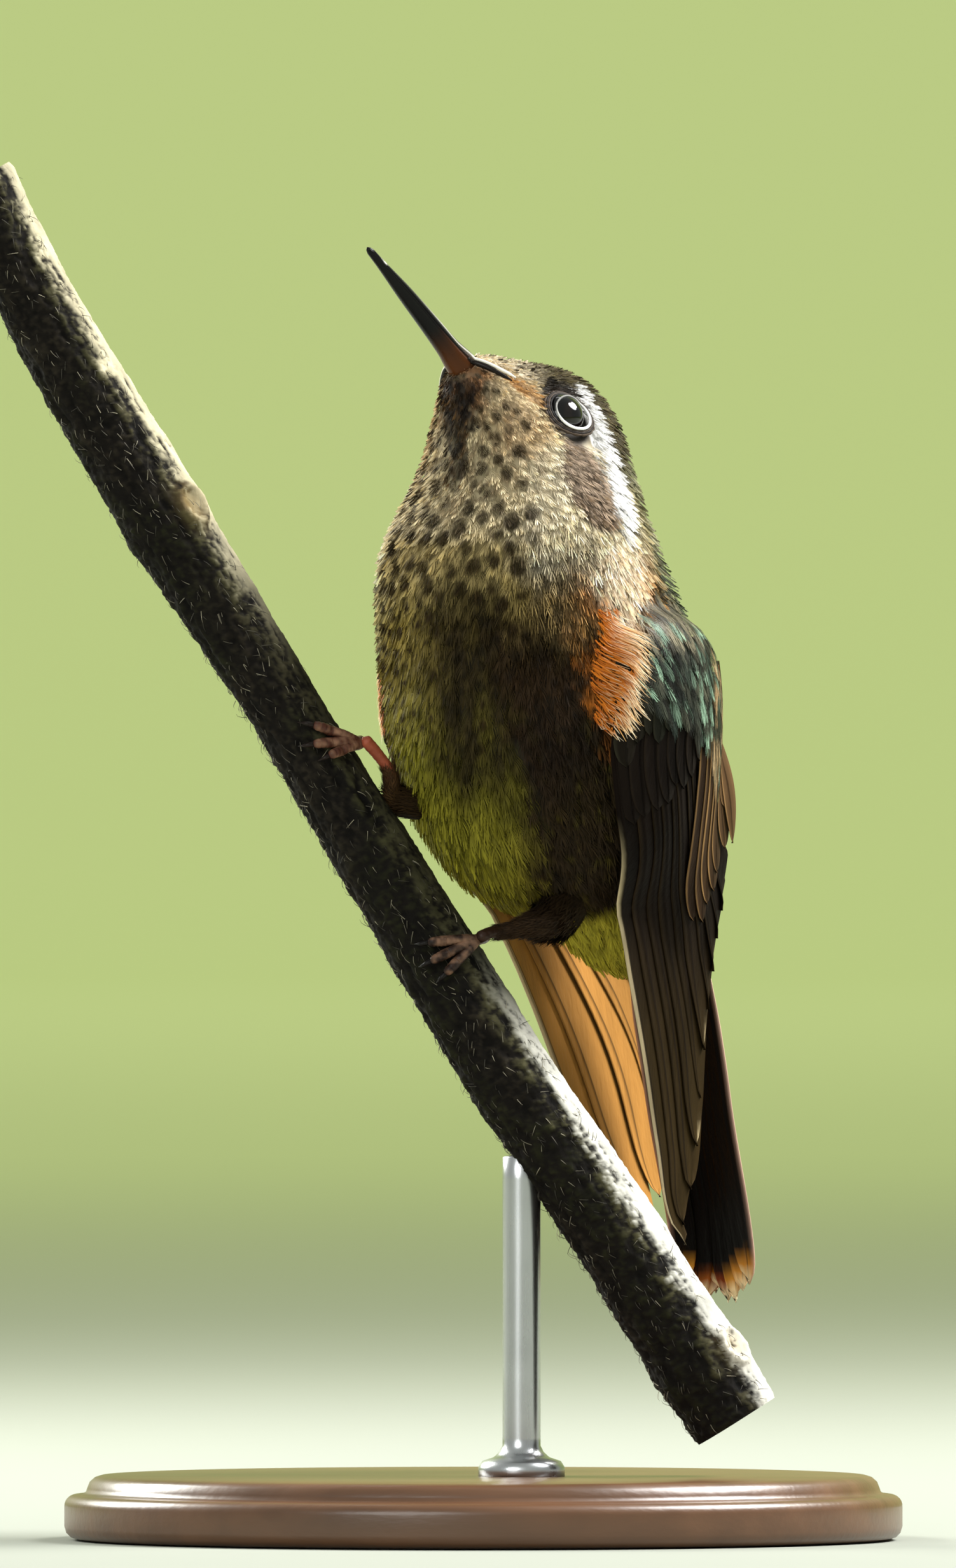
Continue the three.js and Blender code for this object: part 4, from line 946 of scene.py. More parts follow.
def wing_inner(f, z, s):
    v = np.clip((wing_lead(z, s) - f) / (wing_lead(z, s) - wing_trail(z, s)), 0, 1)
    return soft_max(wing_plane(z, v, s), read(_near, f, z) + 0.42, 1.2), v


def wing_thick(z, v):
    u = np.interp(-z, -_zu, _uu)
    al = ease(u, 0, 0.9, 0.12, 1.5, 0.4, 1.1, 1, 0.6)
    return np.maximum(0.55, al * (0.62 + 0.38 * np.sin(np.pi * np.clip(v * 0.8 + 0.2, 0, 1))))


WTOP = {}
for _s in (1, -1):
    _in, _v = wing_inner(_ff, _zz, _s)
    _inside = (_ff < wing_lead(_zz, _s)) & (_ff > wing_trail(_zz, _s) - 1.0) & (_zz < WING_TOP)
    _t = np.where(_inside, _in + wing_thick(_zz, _v), np.maximum(_flank, np.where(_zz > 66, 0, _in)) + 0.05)
    for _ in range(2):
        _t = (_t + 0.5 * (np.roll(_t, 1, 0) + np.roll(_t, -1, 0) + np.roll(_t, 1, 1) + np.roll(_t, -1, 1))) / 3
    WTOP[_s] = _t


def flight_feather(heap, s, lead, rear, z_root, z_tip, h_lead, h_rear, colour, under, shaft_at=0.26, tip_len=6.0, apex=0.55,
                   base=0.30, ns=46, edge=None, edge_from=200.0, shaft=None, curl=0.0, over=None, hook=None, low=None, rim=None):
    """One long feather of a folded wing: a thin closed vane with a raised shaft.
    lead and rear give its two edges at a height; h how far each stands off."""
    t = np.linspace(0, 1, ns) ** 0.9
    z = z_root + (z_tip - z_root) * t
    vv = np.array([0, 0.06, 0.14, shaft_at - 0.045, shaft_at, shaft_at + 0.045, 0.42, 0.6, 0.8, 1.0])
    q = np.clip((z - z_tip) / tip_len, 0, 1)
    r = np.sqrt(np.maximum(0, 1 - (1 - q) ** 2))
    fl, fr = lead(z), rear(z)
    fa = fl + (fr - fl) * apex
    fl, fr = fa + (fl - fa) * r, fa + (fr - fa) * r
    f = fl[:, None] + (fr - fl)[:, None] * vv[None, :]
    zz = z[:, None] - 0.0 * f
    ridge = np.exp(-(((vv - shaft_at) / 0.03) ** 2))
    inner, v = wing_inner(f, zz, s)
    if over is None:
        bed = inner + base * wing_thick(zz, v)
    else:
        bed = read(WTOP[s], f, zz) + over
    h = h_lead + (h_rear - h_lead) * vv[None, :] + curl * (t[:, None] ** 3) - 0.05 * (2 * vv[None, :] - 1) ** 2
    sh = 0.11 * ridge[None, :] * (1 - 0.75 * t[:, None])
    thin = 0.05 + 0.03 * np.minimum(1, 4 * vv * (1 - vv))[None, :]
    top = bird(f, s * (bed + h + sh), zz)
    bot = bird(f, s * (bed + h - thin - sh * 1.1), zz)
    n, m = f.shape
    c_top = np.broadcast_to(colour, (n, m, 3)).copy()
    c_bot = np.broadcast_to(under, (n, m, 3)).copy()
    if low is not None:                               # browner towards the tip
        c_top = mix(c_top, low, (1 - step(34, 52, zz)) * 0.85)
    # noise streaks along each vane: partly random tone, partly painted sheen streaks, strongest on the upper side
    stripe = (noise(np.stack([f * 0 + vv[None, :] * 9, zz * 0.06, f * 0 + z_tip], -1), 1.0, 2) - 0.5)
    c_top *= (1 + 0.7 * stripe)[..., None]
    c_bot *= (1 + 0.22 * stripe)[..., None]
    if edge is not None:
        e = (1 - step(0.0, 0.13, vv))[None, :] * (1 - step(edge_from - 3, edge_from + 3, zz))
        c_top = mix(c_top, edge, e * 0.8)
    if rim is not None:
        c_bot = mix(c_bot, rim, (1 - step(0.05, 0.16, vv))[None, :] * np.ones((n, 1)) * 0.9)
    c_top = mix(c_top, (colour * 0.4 if shaft is None else shaft), ridge[None, :] * 0.85 * np.ones((n, 1)))
    c_bot = mix(c_bot, under * 0.16, ridge[None, :] * 0.9 * np.ones((n, 1)))
    if hook is not None:                              # a worn, pale rim round the tip
        c_top = mix(c_top, hook, (1 - step(0.02, 0.5, q))[:, None] * step(0.62, 0.92, vv)[None, :] * 0.85)
    vt = np.concatenate([top.reshape(-1, 3), bot.reshape(-1, 3)])
    nm = n * m
    quads = [grid_quads(n, m), grid_quads(n, m, flip=True) + nm]
    a = np.arange(n - 1)
    for col, fl_ in ((0, False), (m - 1, True)):
        e0, e1 = a * m + col, (a + 1) * m + col
        w = np.stack([e0, e1, e1 + nm, e0 + nm], -1)
        quads.append(w[:, ::-1] if fl_ else w)
    b = np.arange(m - 1)
    for row, fl_ in ((0, True), (n - 1, False)):
        e0, e1 = row * m + b, row * m + b + 1
        w = np.stack([e0, e1, e1 + nm, e0 + nm], -1)
        quads.append(w[:, ::-1] if fl_ else w)
    qd = np.concatenate(quads)
    if s < 0:
        qd = qd[:, ::-1]
    cc = np.concatenate([c_top.reshape(-1, 3), c_bot.reshape(-1, 3)])
    uv = np.stack([np.clip((f + 24) / 34, 0, 1), np.clip((zz - 18) / 60, 0, 1)], -1).reshape(-1, 2)
    heap.add(vt, qd, cc, np.concatenate([uv * [0.5, 1], uv * [0.5, 1] + [0.5, 0]]))


C_PRIM, C_PRIM_LOW = rgb(17, 11, 8), rgb(47, 36, 17)
# C_LIT: the far wing's underside painted amber, a painted glow of light shining through its feathers
C_LIT = rgb(168, 118, 56)
PRIM_TIPS = [23.0, 24.6, 27.4, 30.8, 34.6, 38.4, 41.6, 44.6, 47.2, 49.4]


def folded_wing(s, name, mat):
    heap = Heap()
    g = np.random.default_rng(60 + s)
    gap = (lambda z: ease(z, 23, 0.5, 30, 1.3, 43, 1.6, 55, 1.45, 66, 1.15)) if s > 0 else \
          (lambda z: ease(z, 23, 0.8, 26, 2.4, 31, 3.4, 38, 4.0, 46, 3.5, 54, 2.7, 66, 1.7))
    tips = PRIM_TIPS if s > 0 else [23.0, 23.9, 26.6, 32.5, 40.0, 46.0]
    for k in range(len(tips)):
        off = g.normal(0, 0.30) if k else 0.0
        lead = lambda z, k=k, off=off: np.maximum(wing_lead(z, s) - k * gap(z) + off * step(24, 34, z), wing_trail(z, s) + 0.5)
        wide = (lambda z: ease(z, 23, 2.2, 30, 3.6, 45, 4.3, 66, 2.6)) if s > 0 else (lambda z: ease(z, 23, 2.6, 30, 4.6, 38, 5.2, 46, 4.8, 66, 3.0))
        rear = lambda z, k=k: np.maximum(lead(z) - wide(z), wing_trail(z, s))
        if s > 0:
            h0, h1 = 0.30 + 0.012 * k, 0.02
        else:                                       # from below each shaft shows
            h0, h1 = 0.02, 0.26
        col = C_PRIM * (1 + 0.10 * g.normal())
        # the far wing's underside: painted glow of light through the feathers, painted brightest on the foremost ones
        und = C_LIT * (1 + 0.07 * g.normal()) * (1.20 - 0.145 * k) if s < 0 else C_PRIM_LOW
        flight_feather(heap, s, lead, rear, 66.0, tips[k], h0, h1, col, und, shaft_at=0.13 if k == 0 else 0.2,
                       tip_len=4.0 + 0.25 * k, low=C_PRIM_LOW if s > 0 else None, rim=rgb(236, 212, 168) if s < 0 and k == 0 else None, edge=rgb(206, 188, 150) if k == 0 else rgb(30, 23, 14) * (0.8 + 1.1 * g.random()), edge_from=54.0 if k == 0 else 200.0, apex=0.62,
                       shaft=rgb(20, 14, 10), curl=0.12 if k in (3, 5, 7) else 0.0, hook=rgb(196, 176, 136) if k in (3, 5) else rgb(70, 56, 36))
    for j in range(8):                              # secondaries: browner, tan-edged
        off = g.normal(0, 0.36)
        lead = lambda z, j=j, off=off: np.maximum(ease(z, 46, -10.2, 48, -9.6, 52, -8.0, 56, -6.7, 59, -5.9, 63, -4.8, 67, -3.0) - 1.05 * j + off, wing_trail(z, s) + 0.35)
        rear = lambda z, j=j: np.maximum(lead(z) - 2.7, wing_trail(z, s) - 0.1)
        col = mix(rgb(40, 27, 17), rgb(78, 58, 37), np.array(j / 7.0)) * (1 + 0.14 * g.normal())
        flight_feather(heap, s, lead, rear, 67.0 + 0.3 * j, 46.4 + 1.6 * j + g.normal(0, 1.9), 0.50 + 0.05 * j, 0.30 + 0.05 * j, col, col * 0.8, shaft_at=0.45,
                       tip_len=4.2, edge=rgb(182, 142, 94) * (0.45 + 0.65 * g.random()), apex=0.5, shaft=rgb(26, 17, 11), base=0.35)
    for k in range(9):                              # greater coverts
        off = g.normal(0, 0.1)
        lead = lambda z, k=k, off=off: wing_lead(z, s) - 0.25 - k * 1.2 + off
        rear = lambda z, k=k: np.maximum(lead(z) - 2.4, wing_trail(z, s))
        col = rgb(19, 14, 11) * (1 + 0.2 * g.normal())
        flight_feather(heap, s, lead, rear, 70.0, 56.0 + 0.7 * k + g.normal(0, 0.5), 0.14 + 0.015 * k, 0.02, col, col * 0.8, shaft_at=0.4,
                       tip_len=3.0, edge=rgb(34, 27, 20), apex=0.5, over=-0.42, ns=26)
    for k in range(11):                             # median coverts
        off = g.normal(0, 0.1)
        lead = lambda z, k=k, off=off: wing_lead(z, s) - 0.1 - k * 0.98 + off
        rear = lambda z, k=k: lead(z) - 1.8
        col = mix(rgb(24, 20, 15), rgb(30, 36, 28), np.array(k / 10.0)) * (1 + 0.2 * g.normal())
        flight_feather(heap, s, lead, rear, 71.0, 62.0 + 0.25 * k + g.normal(0, 0.5), 0.14 + 0.015 * k, 0.02, col, col * 0.8, shaft_at=0.45,
                       tip_len=2.2, edge=rgb(46, 44, 34), apex=0.5, over=-0.25, ns=20)
    return heap.build(name, mat, replaces=("wing_left" if s > 0 else "wing_right",))


folded_wing(1, "flight_left", MAT_FLIGHT)
folded_wing(-1, "flight_right", MAT_FLIGHT_LIT)


def on_wing(s):
    """Places feathers over the wing's coverts and the body beside it."""
    def place(pos, height):
        f, l, z = to_bird(pos)
        return bird(f, s * (read(WTOP[s], f, z) + 0.08 + np.maximum(height, -0.3)), z)
    return place


def small_coverts(s, seed):
    """Small soft shoulder feathers, dark with teal and buff ones among them."""
    g = np.random.default_rng(seed)
    pts = []
    rows = np.arange(75.4, 56.5, -0.62)
    for r, z in enumerate(rows):
        fl = float(ease(z, 58, 1.6, 60, 2.2, 64, 3.8, 68, 4.4, 71, 3.4, 73.5, 1.6, 75.4, -1.0)) - (2.4 if s < 0 else 0.0)
        fr = float(ease(z, 58, -14.8, 60, -14.4, 64, -13.3, 68, -11.2, 71, -9.2, 75.4, -8.0))
        n = max(3, int((fl - fr) / 0.70))
        for i in range(n):
            f = fl - (i + 0.5 * (r % 2) + 0.25) * (fl - fr) / n
            pts.append((f + g.normal(0, 0.16), z + g.normal(0, 0.16), r))
    pts = np.array(pts)
    # lower rows in front are the dark greater coverts' own: leave them bare
    keep = pts[:, 1] > ease(pts[:, 0], -14, 62.0, -11.5, 61.8, -9.5, 62.2, -7, 63.0, -4, 64.6, 0, 66.0, 5, 67.4) + g.normal(0, 0.6, len(pts))
    pts = pts[keep]
    f, z = pts[:, 0], pts[:, 1]
    m = len(pts)
    shape = SOFT
    a, b, e, k = shape["a"][None, :], shape["b"][None, :], shape["e"][None, :], shape["k"]
    long_ = ease(z, 58, 1.25, 66, 1.0, 71, 0.85, 75, 0.8)
    L = (3.1 * long_)[:, None] * g.uniform(0.85, 1.2, (m, 1))
    W = (0.92 * long_ ** 0.5)[:, None] * g.uniform(0.85, 1.15, (m, 1))
    ang = (ease(f, -14, 0.10, -6, 0.30, 2, 0.5, 5, 0.62) + g.normal(0, 0.10, m))[:, None]   # backwards and down
    df, dz = -np.sin(ang), -np.cos(ang)
    across = (b + e + g.normal(0, 0.05, (m, shape["barbs"]))[:, k] * a) * W * 0.5
    al = a * L * (1 + g.normal(0, 0.05, (m, shape["barbs"]))[:, k] * np.clip(2 * a - 0.8, 0, 1))
    ff = f[:, None] + df * al - dz * across
    zz = z[:, None] + dz * al + df * across
    height = -0.10 + 0.26 * a - 0.10 * b ** 2 + g.normal(0, 0.02, (m, 1)) + 0.02 * g.normal(0, 1, (m, shape["barbs"]))[:, k]
    pos = bird(ff, s * (read(WTOP[s], ff, zz) + height), zz)
    grey, teal, green, dark, buff = rgb(138, 128, 102), rgb(38, 50, 44), rgb(58, 62, 42), rgb(20, 18, 14), rgb(214, 176, 128)
    t1 = 1 - step(70.2, 73.4, z)
    back = 1 - step(-7.5, -3.0, f)
    col = mix(grey, teal, t1 * (0.7 + 0.3 * g.random(m)))
    col = mix(col, green, back * 0.85)
    low = 1 - step(63.5, 67.5, z + 0.25 * f)
    col = mix(col, dark, low * (1 - back) * 0.7)
    bright = g.random(m)
    col = col * (0.14 + 1.45 * bright[:, None] ** 2.4)
    # painted highlights: a few coverts painted light teal as glints of the gloss
    lit = (g.random(m) < np.where(f > -5.5, 0.30, 0.14)) & (f > -11) & (z < 73.6) & (z > 61)               # light teal streaks
    col = np.where(lit[:, None], rgb(146, 178, 152) * g.uniform(0.06, 1.15, (m, 1)) ** 1.4, col)
    spotty = (g.random(m) < 0.5) & (f < -5.5) & (z < 71.5)
    col = col[:, None, :] * (0.55 + 0.6 * a)[..., None]
    rim = np.clip(step(0.4, 0.9, np.abs(b)) + step(0.8, 1.0, a), 0, 1) * np.ones((m, 1))
    col = col * (0.75 + 0.75 * rim)[..., None]
    tipb = spotty[:, None] * step(0.3, 0.7, a) * (0.5 + 0.5 * rim)
    col = mix(col, buff * np.ones_like(col), tipb * 0.92)
    n = shape["a"].size
    quads = (shape["q"][None] + (np.arange(m) * n)[:, None, None]).reshape(-1, 4)
    if s < 0:
        quads = quads[:, ::-1]
    uv = np.stack([np.clip((f[:, None] + 24) / 34 + 0.0015 * b, 0, 1), np.clip((z[:, None] - 18) / 60 - 0.003 * a, 0, 1)], -1)
    print("coverts", s, m, len(quads) * 2)
    return mesh_of("coverts_left" if s > 0 else "coverts_right", pos.reshape(-1, 3), quads, col.reshape(-1, 3), MAT_GREEN, uv=uv.reshape(-1, 2))


small_coverts(1, 301)
small_coverts(-1, 302)


def fringe(s, seed):
    """Stiff pale hairs that stand over the front of the wing's bend."""
    g = np.random.default_rng(seed)
    m, n = 440, 6
    z = 63.8 + 9.4 * g.random(m) ** 0.85
    lead = ease(z, 63, 4.7, 66, 4.6, 70, 4.2, 73.4, 3.9) - (1.5 if s < 0 else 0.0)
    f = lead + g.uniform(-0.3, 1.45, m)
    front = step(0.15, 1.0, f - lead)                  # the foremost are chestnut and shorter
    t = np.linspace(0, 1, n)[None, :]
    L = (ease(z, 63, 1.0, 65, 1.6, 68, 2.2, 71, 2.2, 73.4, 1.5) * g.uniform(0.6, 1.35, m) * (1 - 0.38 * front))[:, None]
    ang = (ease(z, 62.6, 0.26, 68, 0.50, 74.6, 0.66) + g.normal(0, 0.09, m))[:, None] + g.normal(0.10, 0.09, (m, 1)) * t
    df, dz = -np.sin(ang), -np.cos(ang)
    half = 0.040 * g.uniform(0.7, 1.3, (m, 1)) * (1 - 0.85 * t ** 1.5)
    rise = -0.14 + t ** 1.2 * g.uniform(0.2, 0.6, (m, 1)) * (0.6 if s < 0 else 1.0)
    pos, shade = [], []
    for side, up in ((-1, 0.0), (0, 0.5), (1, 0.0)):          # a ridged blade
        ff = f[:, None] + df * L * t - dz * half * side
        zz = z[:, None] + dz * L * t + df * half * side
        pos.append(bird(ff, s * (read(WTOP[s], ff, zz) + rise + up * half), zz))
    pos = np.stack(pos, 2)
    root = mix(rgb(146, 70, 14), rgb(208, 118, 30), g.random(m))
    end = mix(rgb(236, 186, 118), rgb(255, 244, 216), g.random(m))
    k = step(0.15, 0.82, t - 0.40 * front[:, None])
    col = root[:, None, :] * (1 - k[..., None]) + end[:, None, :] * k[..., None]
    col = np.repeat(col[:, :, None, :], 3, 2)
    i, j = np.meshgrid(np.arange(n - 1), np.arange(2), indexing="ij")
    q = np.stack([i * 3 + j, i * 3 + j + 1, (i + 1) * 3 + j + 1, (i + 1) * 3 + j], -1).reshape(-1, 4)
    quads = (q[None] + (np.arange(m) * n * 3)[:, None, None]).reshape(-1, 4)
    if s < 0:
        quads = quads[:, ::-1]
    uu = np.clip((f + 24) / 34, 0, 1)[:, None, None] + 0.001 * np.array([-1, 0, 1])[None, None, :] + 0 * pos[..., 0]
    vv = np.clip((z - 18) / 60, 0, 1)[:, None, None] - 0.003 * t[:, :, None] + 0 * pos[..., 0]
    return mesh_of("fringe_left" if s > 0 else "fringe_right", pos.reshape(-1, 3), quads, col.reshape(-1, 3), MAT_BODY,
                   uv=np.stack([uu, vv], -1).reshape(-1, 2))


fringe(1, 311)
fringe(-1, 312)


# ------------------------------------------------------------------------- tail
TAIL_TIP = 18.2


def tail_mid(z):
    return ease(z, 19, -21.6, 35, -18.2, 52, -15.0)


def tail():
    heap = Heap()
    g = np.random.default_rng(77)
    for s in (-1, 1):
        for j in range(5):                            # 0 the middle pair, 4 the outermost
            ns, z_tip = 44, TAIL_TIP + 1.3 * (j / 4) ** 2 + (0.25 if j else 0.9) + 0.35 * g.random()
            t = np.linspace(0, 1, ns) ** 0.92
            z = 51.0 + (z_tip - 51.0) * t
            vv = np.array([0, 0.1, 0.25, 0.38, 0.43, 0.48, 0.62, 0.8, 0.92, 1.0])     # 0 outer edge, 1 inner
            half = ease(z, 19, 5.1, 40, 5.2, 47, 4.6, 52, 3.6) - (1.2 if s < 0 else 0.0)
            mid = s * (0.45 + j * 0.93) * half / 5.1
            wide = ease(z, 19, 2.5, 26, 2.9, 44, 2.3, 51, 1.5)
            q = np.clip((z - z_tip) / 3.2, 0, 1)
            r = np.sqrt(np.maximum(0, 1 - (1 - q) ** 2))
            l_out, l_in = mid + s * wide * 0.40 * (r * 0.96 + 0.04), mid - s * wide * 0.60 * (r * 0.96 + 0.04)
            l_out = s * np.minimum(np.abs(l_out), half)
            l = l_out[:, None] + (l_in - l_out)[:, None] * vv[None, :]
            ridge = np.exp(-(((vv - 0.43) / 0.03) ** 2))
            arch = tail_mid(z)[:, None] - 0.9 * (1 - np.clip(np.abs(l) / 5.1, 0, 1) ** 2)
            # the outer feathers lie under the inner ones, seen from the back
            f = arch + (j - 2) * 0.13 + 0.10 * (vv[None, :] - 0.5) + 0.10 * (t[:, None] ** 3) * g.normal() + 0.05 * s
            sh = 0.10 * ridge[None, :] * (1 - 0.7 * t[:, None])
            ragged = z[:, None] + np.where(t[:, None] > 0.93, 0.2 * g.normal(size=(1, len(vv))) * (t[:, None] - 0.93) / 0.07, 0)
            under, back = bird(f + 0.035 + sh, l, ragged), bird(f - 0.035 - sh, l, ragged)
            n, m = l.shape
            dist = (z[:, None] - z_tip) + 0.7 * (noise(np.stack([l * 1.5, ragged * 0.3, l * 0 + 3.0 * j], -1), 1.0, 2) - 0.5)
            buffy = 1 - step(0.9, 2.3 + 0.4 * (j / 4), dist)
            white = 1 - step(0.2, 1.2, dist)
            # painted shade and glow: the underside is painted near black as shade, and its buff tips orange as light
            # shining through them
            c0, c1 = np.broadcast_to(rgb(9, 6, 5), (n, m, 3)), np.broadcast_to(rgb(50, 48, 30), (n, m, 3))
            warm = mix(rgb(150, 52, 22), rgb(240, 172, 62), g.random())
            cu = mix(mix(c0, warm, buffy * g.uniform(0.75, 1.0)), rgb(246, 226, 178), white)
            cb = mix(mix(c1, rgb(206, 116, 40), buffy), rgb(246, 222, 184), white)
            if j == 4:
                e = (1 - step(0.02, 0.14, vv))[None, :] * np.ones((n, 1))
                cu, cb = mix(cu, rgb(214, 176, 158), e * 0.9), mix(cb, rgb(214, 176, 158), e * 0.9)
            cu = mix(cu, rgb(16, 10, 8), ridge[None, :] * 0.8 * (1 - white))
            cb = mix(cb, rgb(20, 14, 10), ridge[None, :] * 0.8 * (1 - white))
            stripe = noise(np.stack([vv[None, :] * 8 + 0 * l, ragged * 0.05, l * 0 + j + 5 * s], -1), 1.0, 2) - 0.5
            cu, cb = cu * (1 + 0.3 * stripe)[..., None], cb * (1 + 0.3 * stripe)[..., None]
            nm = n * m
            quads = [grid_quads(n, m), grid_quads(n, m, flip=True) + nm]
            a = np.arange(n - 1)
            for col, flip in ((0, False), (m - 1, True)):
                e0, e1 = a * m + col, (a + 1) * m + col
                w = np.stack([e0, e1, e1 + nm, e0 + nm], -1)
                quads.append(w[:, ::-1] if flip else w)
            b = np.arange(m - 1)
            for row, flip in ((0, True), (n - 1, False)):
                e0, e1 = row * m + b, row * m + b + 1
                w = np.stack([e0, e1, e1 + nm, e0 + nm], -1)
                quads.append(w[:, ::-1] if flip else w)
            qd = np.concatenate(quads)
            if s < 0:
                qd = qd[:, ::-1]
            uv = np.stack([np.clip((l + 6) / 12, 0, 1), np.clip((z[:, None] - 17) / 36 + 0 * l, 0, 1)], -1).reshape(-1, 2)
            heap.add(np.concatenate([under.reshape(-1, 3), back.reshape(-1, 3)]), qd, np.concatenate([cu.reshape(-1, 3), cb.reshape(-1, 3)]),
                     np.concatenate([uv * [0.5, 1], uv * [0.5, 1] + [0.5, 0]]))
    return heap.build("tail_feathers", MAT_TAIL, replaces=("tail",))


tail()


# ---------------------------------------------------------------- eyes and lids
def eye(s):
    name = "left" if s > 0 else "right"
    c, out = EYE_AT[s], HLEFT * s
    a, b = HUP, np.cross(out, HUP)
    n, m = 40, 64
    t = np.linspace(0, np.pi, n)
    ph = 2 * np.pi * np.arange(m) / m
    r = EYE_RADIUS * (1 + 0.045 * np.exp(-((t / 0.42) ** 2)))      # the clear front bulges
    v = c + (r * np.cos(t))[:, None, None] * out + (r * np.sin(t))[:, None, None] * (np.cos(ph)[None, :, None] * a + np.sin(ph)[None, :, None] * b)
    pupil = step(0.30, 0.36, t)
    iris = rgb(15, 9, 6)
    col = mix(rgb(4, 3, 3), iris, pupil * (1 - step(0.62, 0.75, t)))[:, None, :] * np.ones((1, m, 1))
    q = grid_quads(n, m, closed=True)
    mesh_of("eyeball_" + name, v.reshape(-1, 3), q if s < 0 else q[:, ::-1], col.reshape(-1, 3), MAT_EYE,
            uv=np.stack([np.tile(ph / 6.3, n), np.repeat(t / np.pi, m)], -1), replaces=("eye_" + name,))
    # lids: a pale rim close round the ball, dark wrinkled skin outside it
    heap = Heap()
    k = 72
    al = 2 * np.pi * np.arange(k) / k
    def loop(ru, rb, lift, rad_, wrinkle=0.0, up=0.0, back=0.0):
        ua, ub = ru * np.cos(al) + up, rb * np.sin(al) + back
        rr = np.sqrt(ua ** 2 + ub ** 2)
        h = np.sqrt(np.maximum(0.2, EYE_RADIUS ** 2 - np.minimum(rr, EYE_RADIUS * 0.98) ** 2)) + lift
        pts = c + ua[:, None] * a + ub[:, None] * b + h[:, None] * out
        w = rad_ * (1 + wrinkle * np.sin(al * 19) * (np.cos(al) < 0.2))
        return pts, w
    for ru, rb, lift, w, wr, colr, up in ((1.60, 1.64, 0.06, 0.082, 0.03, rgb(252, 250, 244), -0.04), (1.78, 1.92, 0.0, 0.12, 0.08, rgb(12, 9, 8), -0.03),
                                          (1.92, 2.08, -0.02, 0.11, 0.25, rgb(62, 52, 44), -0.03), (2.05, 2.22, -0.06, 0.12, 0.3, rgb(30, 24, 20), -0.05),
                                          (2.14, 2.34, -0.12, 0.13, 0.3, rgb(78, 66, 56), -0.06)):
        rim = ru < 1.7
        low = step(-0.75, 0.45, -0.4 * np.cos(al) - 0.9 * s * np.sin(al)) if rim else 0 * al
        pts, rad_ = loop(ru, rb, lift + 0.12 * low, w * (1 + 0.4 * low), wr, up)
        if rim:                                        # never sunk below the coat
            pts = np.where((body_distance(pts) < 0.06)[:, None], settle(pts, np.full(k, 0.06), 4), pts)
        else:                                          # outside the rim they lie in the coat
            pts = settle(pts, np.full(k, -0.10 + lift), 4)
        sides = 8
        tang = unit(np.roll(pts, -1, 0) - np.roll(pts, 1, 0))
        e1 = unit(out - tang * (tang @ out)[:, None])
        e2 = np.cross(tang, e1)
        th = 2 * np.pi * np.arange(sides) / sides
        vv = pts[:, None, :] + np.asarray(rad_)[:, None, None] * (e1[:, None, :] * np.cos(th)[None, :, None] + e2[:, None, :] * np.sin(th)[None, :, None])
        i, j = np.meshgrid(np.arange(k), np.arange(sides), indexing="ij")
        qq = np.stack([i * sides + j, ((i + 1) % k) * sides + j, ((i + 1) % k) * sides + (j + 1) % sides, i * sides + (j + 1) % sides], -1).reshape(-1, 4)
        cc = colr * (0.85 + 0.3 * noise(vv, 0.25, 2))[..., None]
        if rim:                                        # and is palest below
            cc = cc * (0.24 + 0.94 * low)[:, None, None]
        heap.add(vv.reshape(-1, 3), qq, cc.reshape(-1, 3))
    heap.build("eyelid_" + name, MAT_LID)


eye(1)
eye(-1)


